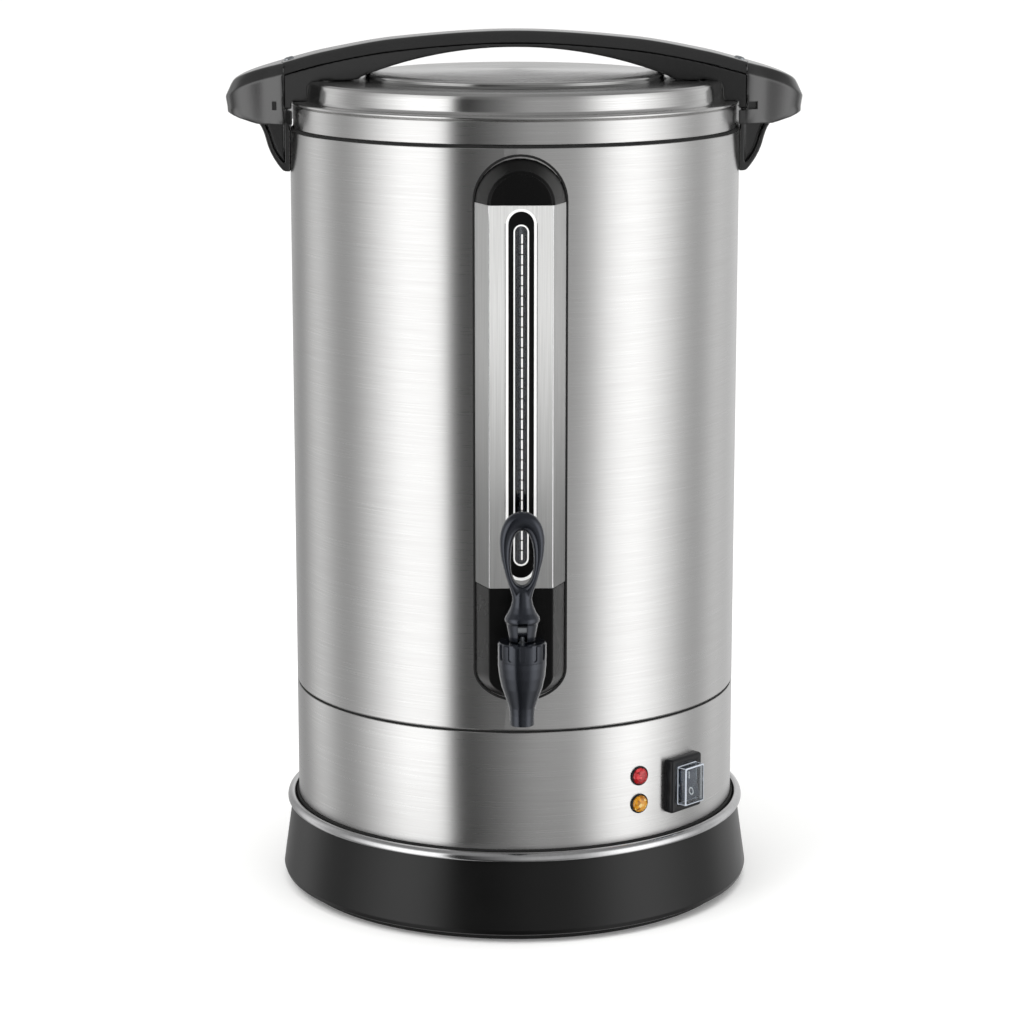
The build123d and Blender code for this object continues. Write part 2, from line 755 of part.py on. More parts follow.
def lid_screw_lines():
    return [Plane.XY * Pos(x, y, 0) for x in (-100, 100) for y in (-9, 9)]


def arch_screw_lines():
    return [Plane.XY * Pos(x, 0, 0) for x in (-127, 127)]


def lid_pan():
    under = sheet(lid_line, wall)[len(lid_line) + 1:]
    edge = [(flange_r - 0.8, flange_z), (flange_r, flange_z - 0.8), (flange_r - 0.3, seat_z),
            (lid_wall_r - wall, seat_z), (lid_wall_r - wall, 455.8)]
    pan = turned(*lid_line, *edge, *under[1:])
    for line in lid_screw_lines():
        pan -= rod(line, 2.1, 450, 475)
    return pan


def lid_envelope():
    return turned(*lid_line, (flange_r + 0.5, flange_z), (flange_r + 0.5, 440), (0, 440))


def lid_liner():
    r, z, top, edge = plug_r, plug_z, seat_z + wall, lid_wall_r - 0.9
    return turned((0, z), (r + 1.5, z), (r + 1.5, z + wall), (r, z + wall), (r, seat_z), (edge, seat_z),
                  (edge, top), (r - wall, top), (r - wall, z + wall), (0, z + wall))


def lid_seal():
    return ring(mouth_r - 0.3, plug_r + running, plug_z + 1, seat_z - 0.2)


def arch_under():
    # the hand space between the arch and the lid
    z = rim_z + arch_under_z
    x = 87
    side = z - (arch_under_r - sqrt(arch_under_r**2 - x**2))
    arc = ThreePointArc((-x, 0, side), (0, 0, z), (x, 0, side))
    edges = [arc, Line((x, 0, side), (x, 0, rim_z)), Line((x, 0, rim_z), (-x, 0, rim_z)),
             Line((-x, 0, rim_z), (-x, 0, side))]
    return side_cut(edges, 40)


def arch_top():
    cap = (grip_solid(0, rim_z) - grip_solid(cap_depth, rim_z)) & arch_plan(0) & disc(grip_end_r, 400, 520)
    for line in arch_screw_lines():
        cap -= rod(line, 1.75, 460, 480)
        cap -= rod(line, 3.2, grip_z(127) - 3.4, 480)
    return cap


def arch_base():
    low_end = 450.3
    base = grip_solid(cap_depth, low_end) & arch_plan(cap_overhang) & disc(grip_end_r, 400, 520)
    base -= arch_under()
    base -= lid_envelope()
    base -= disc(flange_r + 0.5, 400, flange_z)
    for line in lid_screw_lines():
        base -= rod(line, 2.03, 455, 474.5)
    for line in arch_screw_lines():
        base -= rod(line, 1.63, 457.5, 480)
    return base


def lid_screws():
    return [pan_screw(line, 3.5, 2.0, 462.2, 464.5, 474) for line in lid_screw_lines()]


def arch_screws():
    seat = grip_z(127) - 3.4
    return [pan_screw(line, 3.0, 1.6, seat + 2.2, seat, 458) for line in arch_screw_lines()]


nodes = [tank_shell, tank_floor, rim_ring, seam_ring, base_band, trim_ring, base_skirt, foot_ring, base_plate,
         base_screws, power_inlet, inlet_pins, inlet_screws, well_heater, warming_element, thermostats,
         terminal_block, internal_leads, side_handle_left, side_handle_right, handle_inserts, handle_screws,
         gauge_cover, gauge_top_cap, tap_escutcheon, gauge_frame, gauge_scale, gauge_backing, sight_tube,
         gauge_bushings, gauge_elbow, tap_body, tap_bonnet, tap_gaskets, tap_nut, valve_stem, seat_cup,
         valve_spring, tap_lever, lever_pin, switch_housing, rocker_pin, switch_rocker,
         splash_cover, switch_terminals, lamp_bezels, lamp_bodies, perc_stem, pump_foot, coffee_basket,
         basket_spreader, lid_pan, lid_liner, lid_seal, lid_screws, arch_base, arch_top, arch_screws]

os.makedirs("parts", exist_ok=True)


def write(name, made):
    solids = made if isinstance(made, list) else [made]
    bodies = [s for piece in solids for s in piece.solids()]
    export_step(Compound(children=bodies) if len(bodies) > 1 else bodies[0], f"parts/{name}.step")
    print(name, len(bodies), round(sum(s.volume for s in bodies)))


for node in nodes:
    write(node.__name__, node())
for lens in lamp_heights:
    write(lens, lamp_lens(lens))
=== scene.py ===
import math

import bmesh
import bpy
from mathutils import Matrix, Vector


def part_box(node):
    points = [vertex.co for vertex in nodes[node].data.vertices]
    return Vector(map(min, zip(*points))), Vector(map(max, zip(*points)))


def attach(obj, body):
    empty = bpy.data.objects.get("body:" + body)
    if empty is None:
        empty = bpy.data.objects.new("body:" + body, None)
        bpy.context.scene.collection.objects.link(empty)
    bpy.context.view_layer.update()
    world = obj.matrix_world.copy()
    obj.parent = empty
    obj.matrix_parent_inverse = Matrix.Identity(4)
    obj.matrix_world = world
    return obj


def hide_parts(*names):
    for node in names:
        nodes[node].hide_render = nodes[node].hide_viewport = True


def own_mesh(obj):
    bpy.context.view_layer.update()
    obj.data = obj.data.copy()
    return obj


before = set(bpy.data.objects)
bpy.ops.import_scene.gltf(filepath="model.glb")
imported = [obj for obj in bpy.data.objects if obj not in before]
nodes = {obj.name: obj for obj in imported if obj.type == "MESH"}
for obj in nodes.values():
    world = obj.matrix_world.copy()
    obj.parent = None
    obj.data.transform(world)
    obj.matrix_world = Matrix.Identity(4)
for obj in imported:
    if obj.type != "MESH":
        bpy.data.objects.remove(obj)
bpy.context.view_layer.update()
mm = 0.001
bodyRadius = 127   # of the base band
tapAxis = (0, -165)   # where the lever, stem and bonnet stand, seen from above


# small helpers

def linear(colour):
    # sRGB hex to the linear colour that a shader takes
    parts = [int(colour[i:i + 2], 16) / 255 for i in (1, 3, 5)]
    return tuple(c / 12.92 if c <= 0.04045 else ((c + 0.055) / 1.055) ** 2.4 for c in parts) + (1.0,)


def plug(node, links):
    # links into a node's inputs; a node in place of a socket stands for its first output
    for key, source in links.items():
        socket = source if isinstance(source, bpy.types.NodeSocket) else source.outputs[0]
        node.id_data.links.new(socket, node.inputs[key])


def addNode(tree, kind, settings=None, links=None):
    # a node with its properties, input values and links; a setting that names an input fills the input
    node = tree.nodes.new(kind)
    for key, value in (settings or {}).items():
        if isinstance(key, int) or (key in node.inputs and not hasattr(node, key)):
            node.inputs[key].default_value = value
        else:
            setattr(node, key, value)
    plug(node, links or {})
    return node


def fillRamp(ramp, stops):
    # fills a colour ramp from (position, linear colour) pairs
    band = ramp.color_ramp
    while len(band.elements) > 1:
        band.elements.remove(band.elements[-1])
    for i, (place, colour) in enumerate(stops):
        stop = band.elements[0] if i == 0 else band.elements.new(place)
        stop.position = place
        stop.color = colour


def newMaterial(name, settings):
    # a material with its one shader set up, and the place on the piece that patterns follow
    material = bpy.data.materials.new(name)
    material.use_nodes = True
    tree = material.node_tree
    tree.nodes.clear()
    shader = addNode(tree, "ShaderNodeBsdfPrincipled", settings)
    addNode(tree, "ShaderNodeOutputMaterial", links={"Surface": shader})
    return material, tree, shader, addNode(tree, "ShaderNodeTexCoord").outputs["Object"]


def linked(name, data):
    # an object with this data, put in the scene
    thing = bpy.data.objects.new(name, data)
    bpy.context.scene.collection.objects.link(thing)
    return thing


# camera

# right is how many pixels the urn's axis stands right of the middle
view = {
    "distance": 1.801, "height": 0.596, "azimuth": -1.4, "down": 11.933, "lens": 111.42, "sensor": 36,
    "frame": 1024, "right": 2.67,
}


def makeCamera():
    turn = math.radians(view["azimuth"])
    data = bpy.data.cameras.new("urnCamera")
    data.lens, data.sensor_width = view["lens"], view["sensor"]
    data.clip_start, data.clip_end = 0.05, 60
    camera = linked("urnCamera", data)
    camera.location = (view["distance"] * math.sin(turn), -view["distance"] * math.cos(turn), view["height"])
    aside = math.atan(view["right"] / view["frame"] * view["sensor"] / view["lens"])
    camera.rotation_euler = (math.radians(90 - view["down"]), 0, turn + aside)
    bpy.context.scene.camera = camera


makeCamera()
print("camera set")


# studio

# What stands round the table, as (azimuth from the camera's side, brightness): a wide bright screen on each
# side, a dark gap left of the camera, a soft grey card in front that brightens to the right, and narrower
# screens and a grey wall further round. The ceiling is darker in reflections than as a source of light.
studio = {
    "screens": [(-180, 0.42), (-160, 0.26), (-141, 0.16), (-124, 0.62), (-108, 0.24), (-94, 0.22),
        (-80, 0.54), (-66, 0.92), (-52, 1.14), (-43, 1.04), (-37, 0.86), (-34, 0.0), (-28, 0.01),
        (-18, 0.07), (-6, 0.14), (6, 0.26), (18, 0.28), (29, 0.26), (38, 0.4), (48, 0.84), (62, 1.08),
        (76, 0.84), (92, 0.44), (108, 0.2), (124, 0.52), (140, 0.34), (158, 0.44), (180, 0.42)],
    "strength": 1.56, "below": 0.5, "fall": (-0.85, -0.25),
    "ceiling": "#dcdcdc", "ceilingSeen": "#707070", "rise": (0.3, 0.7),
    "lamps": {"key": (19, 1.3, (-1.35, -1.25, 2.2)), "top": (6, 0.9, (0.25, -0.35, 1.9))},
    "aim": (0, 0, 0.22),
    "floor": "#f7f7f6", "floorHalf": 25, "floorLift": 0.12,
}


def makeRoom():
    world = bpy.data.worlds.new("studio")
    bpy.context.scene.world = world
    world.use_nodes = True
    tree = world.node_tree
    tree.nodes.clear()
    way = addNode(tree, "ShaderNodeTexCoord")
    parts = addNode(tree, "ShaderNodeSeparateXYZ", links={0: way.outputs["Generated"]})
    back = addNode(tree, "ShaderNodeMath", {"operation": "MULTIPLY", 1: -1.0}, {0: parts.outputs["Y"]})
    angle = addNode(tree, "ShaderNodeMath", {"operation": "ARCTAN2"}, {0: parts.outputs["X"], 1: back})
    share = addNode(tree, "ShaderNodeMath", {"operation": "MULTIPLY_ADD", 1: 1 / (2 * math.pi), 2: 0.5},
        {0: angle})
    screens = addNode(tree, "ShaderNodeValToRGB", links={0: share})
    fillRamp(screens, [(a / 360 + 0.5, (g, g, g, 1.0)) for a, g in studio["screens"]])
    screens.color_ramp.interpolation = "B_SPLINE"
    low, high = studio["rise"]
    rise = addNode(tree, "ShaderNodeMapRange", {"From Min": low, "From Max": high}, {0: parts.outputs["Z"]})
    ray = addNode(tree, "ShaderNodeLightPath")
    roof = addNode(tree, "ShaderNodeMix", {"data_type": "RGBA", 6: linear(studio["ceiling"]),
        7: linear(studio["ceilingSeen"])}, {0: ray.outputs["Is Glossy Ray"]})
    room = addNode(tree, "ShaderNodeMix", {"data_type": "RGBA"}, {0: rise, 6: screens, 7: roof.outputs[2]})
    low, high = studio["fall"]
    fall = addNode(tree, "ShaderNodeMapRange",
        {"From Min": low, "From Max": high, "To Min": studio["below"], "To Max": studio["strength"]},
        {0: parts.outputs["Z"]})
    lit = addNode(tree, "ShaderNodeBackground", links={0: room.outputs[2], "Strength": fall})
    white = addNode(tree, "ShaderNodeBackground", {0: (1, 1, 1, 1), "Strength": 1.0})
    seen = addNode(tree, "ShaderNodeMath", {"operation": "MAXIMUM"},
        {0: ray.outputs["Is Camera Ray"], 1: ray.outputs["Is Transmission Ray"]})
    mix = addNode(tree, "ShaderNodeMixShader", links={0: seen, 1: lit, 2: white})
    addNode(tree, "ShaderNodeOutputWorld", links={0: mix})


def makeLights():
    for name, (watts, size, place) in studio["lamps"].items():
        data = bpy.data.lights.new(name + "Lamp", "AREA")
        data.energy, data.shape, data.size = watts, "DISK", size
        lamp = linked(name + "Lamp", data)
        lamp.location = place
        lamp.rotation_euler = (Vector(studio["aim"]) - lamp.location).to_track_quat("-Z", "Y").to_euler()
        lamp.visible_glossy = False


def makeFloor():
    mesh = bpy.data.meshes.new("floor")
    half = studio["floorHalf"]
    mesh.from_pydata([(-half, -half, 0), (half, -half, 0), (half, half, 0), (-half, half, 0)], [],
        [(0, 1, 2, 3)])
    floor = linked("floor", mesh)
    material, tree, shader = newMaterial("PaintedTableTop", {   # matt white paint that takes the shadow
        "Base Color": linear(studio["floor"]), "Roughness": 0.9, "Specular IOR Level": 0.1,
        "Emission Color": (1, 1, 1, 1)})[:3]
    ray = addNode(tree, "ShaderNodeLightPath")
    lift = addNode(tree, "ShaderNodeMath", {"operation": "MULTIPLY", 1: studio["floorLift"]},
        {0: ray.outputs["Is Camera Ray"]})
    clear = addNode(tree, "ShaderNodeBsdfTransparent")
    mix = addNode(tree, "ShaderNodeMixShader", links={0: ray.outputs["Is Glossy Ray"], 1: shader, 2: clear})
    plug(shader, {"Emission Strength": lift})
    plug(tree.get_output_node("ALL"), {"Surface": mix})
    mesh.materials.append(material)


makeRoom()
makeLights()
makeFloor()
bpy.context.scene.view_settings.view_transform = "Standard"
print("studio set")


# materials

def brushedSteel(name, dark, light, rough, aniso, along=26, across=2600, bump=0.03, metal=1.0,
        upright=False, fade=None):
    # Stainless sheet, brushed along the sheet: fine level scratches that smear reflections up and down.
    # Real scratches are 0.02 to 0.1 mm apart; here they are drawn about 0.4 mm apart so that they show.
    material, tree, shader, place = newMaterial(name,
        {"Metallic": metal, "Anisotropic": aniso, "Anisotropic Rotation": 0.0 if upright else 0.25})
    fine = addNode(tree, "ShaderNodeMapping", {"Scale": (along, along, across)}, {"Vector": place})
    grain = addNode(tree, "ShaderNodeTexNoise", {"Scale": 1.0, "Detail": 3.0, "Roughness": 0.62},
        {"Vector": fine})
    wide = addNode(tree, "ShaderNodeMapping", {"Scale": (9, 9, across * 0.3)}, {"Vector": place})
    bands = addNode(tree, "ShaderNodeTexNoise", {"Scale": 1.0, "Detail": 2.0}, {"Vector": wide})
    both = addNode(tree, "ShaderNodeMath", {"operation": "MULTIPLY_ADD", 1: 0.2}, {0: bands, 2: grain})
    tone = addNode(tree, "ShaderNodeMapRange", {"From Min": 0.36, "From Max": 0.84}, {0: both})
    colour = addNode(tree, "ShaderNodeMix", {"data_type": "RGBA", 6: linear(dark), 7: linear(light)},
        {0: tone})
    if fade:   # painted shade: the colour darkens towards the piece's foot
        low, high, share = fade
        parts = addNode(tree, "ShaderNodeSeparateXYZ", links={0: place})
        foot = addNode(tree, "ShaderNodeMapRange",
            {"interpolation_type": "SMOOTHSTEP", "From Min": low * mm, "From Max": high * mm,
            "To Min": share, "To Max": 1.0}, {0: parts.outputs["Z"]})
        colour = addNode(tree, "ShaderNodeMix", {"data_type": "RGBA", 6: (0.01, 0.01, 0.01, 1)},
            {0: foot, 7: colour.outputs[2]})
    smear = addNode(tree, "ShaderNodeMapRange", {"To Min": rough * 1.09, "To Max": rough * 0.91}, {0: tone})
    scratches = addNode(tree, "ShaderNodeBump", {"Strength": bump, "Distance": 0.00003}, {"Height": grain})
    around = addNode(tree, "ShaderNodeTangent", {"direction_type": "RADIAL", "axis": "Z"})
    plug(shader, {"Base Color": colour.outputs[2], "Roughness": smear, "Normal": scratches,
        "Tangent": around})
    return material


def plainMetal(name, dark, light, rough, edge=0.0002, mottle=400):
    # turned, cast or polished metal with a faint mottle and softened edges
    material, tree, shader, place = newMaterial(name, {"Metallic": 1.0})
    spots = addNode(tree, "ShaderNodeTexNoise", {"Scale": mottle, "Detail": 3.0}, {"Vector": place})
    colour = addNode(tree, "ShaderNodeMix", {"data_type": "RGBA", 6: linear(dark), 7: linear(light)},
        {0: spots})
    tone = addNode(tree, "ShaderNodeMapRange", {"To Min": rough * 0.8, "To Max": rough * 1.2}, {0: spots})
    soft = addNode(tree, "ShaderNodeBevel", {"samples": 4, "Radius": edge})
    plug(shader, {"Base Color": colour.outputs[2], "Roughness": tone, "Normal": soft})
    return material


def mouldedPlastic(name, colour, rough, grain=0.00004, pitch=0.5, edge=0.0006, level=0.5, coat=0.0,
        cast="#ffffff"):
    # injection-moulded or pressed plastic: a fine spark-eroded grain, softened edges and a faint cloudiness
    material, tree, shader, place = newMaterial(name,
        {"Specular IOR Level": level, "Specular Tint": linear(cast), "Coat Weight": coat,
        "Coat Roughness": 0.1})
    pits = addNode(tree, "ShaderNodeTexNoise", {"Scale": 1 / (pitch * mm), "Detail": 2.0, "Roughness": 0.6},
        {"Vector": place})
    cloud = addNode(tree, "ShaderNodeTexNoise", {"Scale": 45.0, "Detail": 3.0}, {"Vector": place})
    base = linear(colour)
    lighter = tuple(min(1, c * 1.25 + 0.0015) for c in base[:3]) + (1.0,)
    tint = addNode(tree, "ShaderNodeMix", {"data_type": "RGBA", 6: base, 7: lighter}, {0: cloud})
    tone = addNode(tree, "ShaderNodeMapRange", {"To Min": rough * 0.85, "To Max": rough * 1.15}, {0: cloud})
    soft = addNode(tree, "ShaderNodeBevel", {"samples": 4, "Radius": edge})
    bump = addNode(tree, "ShaderNodeBump", {"Strength": 0.5, "Distance": grain},
        {"Height": pits, "Normal": soft})
    plug(shader, {"Base Color": tint.outputs[2], "Roughness": tone, "Normal": bump})
    return material


def clearPlastic(name, colour, rough, ior=1.49):
    # clear or tinted transparent moulding
    material, tree, shader, place = newMaterial(name, {"Transmission Weight": 1.0, "IOR": ior})
    haze = addNode(tree, "ShaderNodeTexNoise", {"Scale": 120.0, "Detail": 2.0}, {"Vector": place})
    base = linear(colour)
    darker = tuple(c * 0.9 for c in base[:3]) + (1.0,)
    tint = addNode(tree, "ShaderNodeMix", {"data_type": "RGBA", 6: base, 7: darker}, {0: haze})
    tone = addNode(tree, "ShaderNodeMapRange", {"To Min": rough * 0.7, "To Max": rough * 1.3}, {0: haze})
    plug(shader, {"Base Color": tint.outputs[2], "Roughness": tone})
    return material


def tintedLens(name, deep, middle, bright):
    # transparent tinted acrylic coloured deep to bright in random cells: painted shade and painted glints
    # where light would come back through the cut facets
    material, tree, shader, place = newMaterial(name,
        {"Roughness": 0.06, "IOR": 1.49, "Transmission Weight": 0.15, "Coat Weight": 0.6,
        "Coat Roughness": 0.03})
    cells = addNode(tree, "ShaderNodeTexVoronoi", {"Scale": 620.0}, {"Vector": place})
    pick = addNode(tree, "ShaderNodeSeparateColor", links={0: cells.outputs["Color"]})
    tint = addNode(tree, "ShaderNodeValToRGB", links={0: pick})
    fillRamp(tint, [(0.0, linear(deep)), (0.45, linear(middle)), (0.7, linear(middle)),
        (0.95, linear(bright))])
    plug(shader, {"Base Color": tint})
    return material


# each finish: its maker, its settings and the nodes that have it
finishes = {
    # 430 stainless sheet brushed with a 180 grit belt: pale grey, with level streaks
    "BrushedStainlessSteel": (brushedSteel, {"dark": "#dad9d8", "light": "#e3e3e2", "rough": 0.29,
        "aniso": 0.9}, "tank_shell base_band rim_ring"),
    # the lid, drawn in one piece and brushed finer
    "FineStainlessSteel": (brushedSteel, {"dark": "#d3d2d1", "light": "#e1e1e0", "rough": 0.2,
        "aniso": 0.85}, "lid_pan"),
    # stainless coloured duller and greyer, to paint shade and dark reflections into the lid's channel
    "ChannelShadeSteel": (brushedSteel, {"dark": "#9d9d9c", "light": "#b0b0af", "rough": 0.22,
        "aniso": 0.8}, ""),
    # the same sheet brushed lengthwise under a clear matt lacquer, which scatters light and reads pale; its
    # colour darkens towards the bottom as painted shade
    "SatinStainlessSteel": (brushedSteel, {"dark": "#e6e6e5", "light": "#f4f4f3", "rough": 0.8,
        "along": 1800, "across": 20, "aniso": 0.5, "bump": 0.02, "metal": 0.55, "upright": True,
        "fade": (205, 365, 0.44)}, "gauge_cover"),
    # its folded sides, coloured greyer than the front as painted shade, and also darkened towards the bottom
    "FoldedStainlessSteel": (brushedSteel, {"dark": "#cfcfce", "light": "#dcdcdb", "rough": 0.7,
        "along": 1800, "across": 20, "aniso": 0.6, "bump": 0.02, "upright": True, "fade": (205, 345, 0.5)},
        ""),
    # stainless as it comes from the mill, dull inside the body
    "MillStainlessSteel": (brushedSteel, {"dark": "#b2b1af", "light": "#d0cfcd", "rough": 0.42, "along": 70,
        "across": 900, "aniso": 0.5, "bump": 0.2},
        "tank_floor seam_ring base_plate lid_liner perc_stem pump_foot coffee_basket basket_spreader"),
    # rolled ring, buffed bright
    "PolishedStainlessSteel": (plainMetal, {"dark": "#d4d4d5", "light": "#e6e6e7", "rough": 0.12},
        "trim_ring"),
    # zinc-plated screws and pins: bright with a cool cast
    "ZincPlatedSteel": (plainMetal, {"dark": "#a9adb2", "light": "#ced2d6", "rough": 0.26},
        "base_screws inlet_screws handle_screws lid_screws arch_screws tap_nut rocker_pin "
        "lever_pin valve_spring valve_stem"),
    # die-cast aluminium of the heating parts: pale, dull and slightly pitted
    "CastAluminium": (plainMetal, {"dark": "#9c9c9b", "light": "#c2c2c0", "rough": 0.48, "mottle": 900},
        "well_heater warming_element thermostats"),
    # turned brass: yellow, gone a little dull
    "TurnedBrass": (plainMetal, {"dark": "#a5833f", "light": "#cfae62", "rough": 0.3},
        "handle_inserts inlet_pins switch_terminals"),
    # flared polypropylene base: soft satin black
    "PolypropyleneBase": (mouldedPlastic, {"colour": "#030303", "rough": 0.3, "edge": 0.0008,
        "level": 0.42}, "base_skirt"),
    # pressed phenolic handles: black, dense and glossy
    "PhenolicHandles": (mouldedPlastic, {"colour": "#050505", "rough": 0.22, "edge": 0.0005, "level": 1.0,
        "coat": 0.6}, "side_handle_left side_handle_right arch_base arch_top"),
    # ABS gauge housing: satin black
    "AbsGaugeHousing": (mouldedPlastic, {"colour": "#040404", "rough": 0.28, "edge": 0.0004, "level": 0.2},
        "gauge_top_cap tap_escutcheon gauge_scale gauge_elbow"),
    # blue-black backing strip behind the glass
    "AbsGaugeBacking": (mouldedPlastic, {"colour": "#2b3350", "rough": 0.3, "edge": 0.0002},
        "gauge_backing"),
    # polished nylon tap: blue-black with a wet gloss
    "NylonTap": (mouldedPlastic, {"colour": "#07090e", "rough": 0.25, "grain": 0.00001, "edge": 0.0005,
        "level": 0.8, "coat": 0.4, "cast": "#dbe3f6"}, "tap_body tap_bonnet tap_lever"),
    # fine-grained nylon of the switch and lamp housings
    "NylonSwitch": (mouldedPlastic, {"colour": "#0a0b0f", "rough": 0.3, "edge": 0.0004},
        "switch_housing lamp_bezels lamp_bodies power_inlet terminal_block"),
    # rocker moulding: slate blue-grey ABS
    "AbsRocker": (mouldedPlastic, {"colour": "#3d4450", "rough": 0.3}, "switch_rocker"),
    # white ABS window frame
    "AbsWhiteFrame": (mouldedPlastic, {"colour": "#f4f4f2", "rough": 0.35, "edge": 0.0002}, "gauge_frame"),
    # nitrile foot: matt black, soft
    "NitrileRubber": (mouldedPlastic, {"colour": "#161616", "rough": 0.75, "pitch": 0.9, "edge": 0.0005},
        "foot_ring"),
    # translucent silicone seals
    "SiliconeSeals": (mouldedPlastic, {"colour": "#b9b7b0", "rough": 0.5, "edge": 0.0004},
        "lid_seal seat_cup tap_gaskets gauge_bushings"),
    # glass-sleeved mains leads
    "GlassSleeving": (mouldedPlastic, {"colour": "#2b2b2a", "rough": 0.7, "pitch": 0.3}, "internal_leads"),
    # borosilicate gauge glass
    "BorosilicateGlass": (clearPlastic, {"colour": "#f2f6f7", "rough": 0.03, "ior": 1.47}, "sight_tube"),
    # clear cast acrylic of the gauge window
    "ClearAcrylic": (clearPlastic, {"colour": "#f4f7fb", "rough": 0.04}, ""),
    # soft clear cover over the rocker
    "ClearSilicone": (clearPlastic, {"colour": "#eef2f6", "rough": 0.12, "ior": 1.41}, "splash_cover"),
    # the same silicone coloured pale whitish blue for the cover's rims: painted highlights along its edges
    "EdgeHighlightSilicone": (mouldedPlastic, {"colour": "#c9d0da", "rough": 0.3, "edge": 0.0002}, ""),
    # tinted acrylic lamp lenses, with painted shade and glints in random cells
    "RedAcrylic": (tintedLens, {"deep": "#5c0207", "middle": "#b20e16", "bright": "#ee4a50"},
        "heating_lens"),
    "AmberAcrylic": (tintedLens, {"deep": "#a05e04", "middle": "#e39b12", "bright": "#fbe08a"},
        "warm_lens"),
}
looks = {}

for label, (make, settings, used) in finishes.items():
    looks[label] = make(label, **settings)
    for node in used.split():
        mesh = nodes[node].data
        mesh.materials.clear()
        mesh.materials.append(looks[label])
print("materials set")


# making pieces

def roundCorners(points, radius, steps=3):
    # a closed outline with each corner turned into a short curve; points on the axis are left as they are
    done = []
    for i, point in enumerate(points):
        here, last, after = Vector(point), Vector(points[i - 1]), Vector(points[(i + 1) % len(points)])
        if here.x < 1e-6 or radius <= 0:
            done.append(here)
            continue
        back, on = last - here, after - here
        cut = min(radius, back.length * 0.45, on.length * 0.45)
        start, end = here + back.normalized() * cut, here + on.normalized() * cut
        for k in range(steps + 1):
            t = k / steps
            done.append(start * (1 - t) ** 2 + here * 2 * t * (1 - t) + end * t * t)
    return done


def bareMesh(bm, name):
    mesh = bpy.data.meshes.new(name)
    bm.to_mesh(mesh)
    bm.free()
    return mesh


def smoothed(mesh, crease):
    # shades smooth across edges that turn by less than the crease angle
    mesh.shade_smooth()
    mesh.set_sharp_from_angle(angle=math.radians(crease))
    return mesh


def meshFrom(bm, name, look, crease=38):
    # merges doubles, turns the faces out and hands over a mesh with one material
    bmesh.ops.remove_doubles(bm, verts=bm.verts, dist=1e-6)
    bmesh.ops.recalc_face_normals(bm, faces=bm.faces)
    mesh = bareMesh(bm, name)
    mesh.materials.append(looks[look])
    return smoothed(mesh, crease)


def addPiece(name, mesh, body, slot, *replaced):
    piece = linked(name, mesh)
    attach(piece, body)
    if replaced:
        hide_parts(*replaced)
    return piece


def addShape(bm, name, look, crease, *where):
    # where: the body, the slot (not used) and the nodes that the piece replaces
    addPiece(name, meshFrom(bm, name, look, crease), *where)


def addRow(bm, points, place=Matrix()):
    # a row of vertices from points in millimetres, set down by a matrix
    return [bm.verts.new(place @ Vector([c * mm for c in point])) for point in points]


def spun(count):
    # evenly spaced angles once round
    return [2 * math.pi * k / count for k in range(count)]


def halfTurn(start, steps):
    # angles through half a turn, with both its ends
    return [start + math.pi * k / steps for k in range(steps + 1)]


def bridge(bm, rows, ends="meet"):
    # quads between neighbouring rows of vertices, each closed on itself; the ends meet, are capped or are open
    count = len(rows)
    for k in range(count if ends == "meet" else count - 1):
        row, after = rows[k], rows[(k + 1) % count]
        for i in range(len(row)):
            j = (i + 1) % len(row)
            bm.faces.new((row[i], row[j], after[j], after[i]))
    if ends == "capped":
        bm.faces.new(rows[0])
        bm.faces.new(rows[-1][::-1])


def lathe(name, outline, look, segments=256, centre=(0, 0), corner=0.25, steps=3):
    # turns a closed (radius, height) outline in millimetres about an upright axis
    points = roundCorners(outline, corner, steps)
    bm = bmesh.new()
    bridge(bm,
        [addRow(bm, [(centre[0] + q.x * math.cos(a), centre[1] + q.x * math.sin(a), q.y) for q in points])
        for a in spun(segments)])
    return meshFrom(bm, name, look)


def copied(node):
    # a merged copy of a frame node's mesh, to be worked on
    bm = bmesh.new()
    bm.from_mesh(nodes[node].data)
    bmesh.ops.remove_doubles(bm, verts=bm.verts, dist=2e-6)
    return bm


def settled(shape, name):
    # the shape with its modifiers applied, as a plain mesh
    mesh = bpy.data.meshes.new_from_object(shape.evaluated_get(bpy.context.evaluated_depsgraph_get()))
    mesh.name = name
    shape.modifiers.clear()
    bpy.data.objects.remove(shape)
    return mesh


def softened(name, mesh, look, voxel, passes, knife=None, keep=1.0):
    # the shape with moulded, rounded edges: remeshed in small voxels, relaxed, and then cut by the knife
    shape = linked(name + "Rough", mesh)
    grid = shape.modifiers.new("grid", "REMESH")
    grid.mode, grid.voxel_size, grid.use_smooth_shade = "VOXEL", voxel * mm, True
    relax = shape.modifiers.new("relax", "SMOOTH")
    relax.factor, relax.iterations = 0.5, passes
    if keep < 1:
        shape.modifiers.new("thin", "DECIMATE").ratio = keep
    if knife:
        blade = linked(name + "Knife", knife)
        cut = shape.modifiers.new("cut", "BOOLEAN")
        cut.operation, cut.solver, cut.object = "DIFFERENCE", "EXACT", blade
    done = settled(shape, name)
    if knife:
        bpy.data.objects.remove(blade)
    done.materials.clear()
    done.materials.append(looks[look])
    done.shade_smooth()
    return done


def sideLine(curves, steps):
    # points along a chain of Bezier curves
    points = []
    for curve in curves:
        p = [Vector(q) for q in curve]
        for k in range(steps):
            t = k / steps
            points.append(p[0] * (1 - t) ** 3 + p[1] * 3 * t * (1 - t) ** 2 + p[2] * 3 * t * t * (1 - t)
                + p[3] * t ** 3)
    return points + [Vector(curves[-1][-1])]


def faceFrame(angle, radius, z):
    # a place on the round body seen from outside: X to the right, Y up, Z outwards
    a = math.radians(angle)
    across, out = Vector((math.cos(a), math.sin(a), 0)), Vector((math.sin(a), -math.cos(a), 0))
    turn = Matrix((across, Vector((0, 0, 1)), out)).transposed().to_4x4()
    return Matrix.Translation(out * radius * mm + Vector((0, 0, z * mm))) @ turn


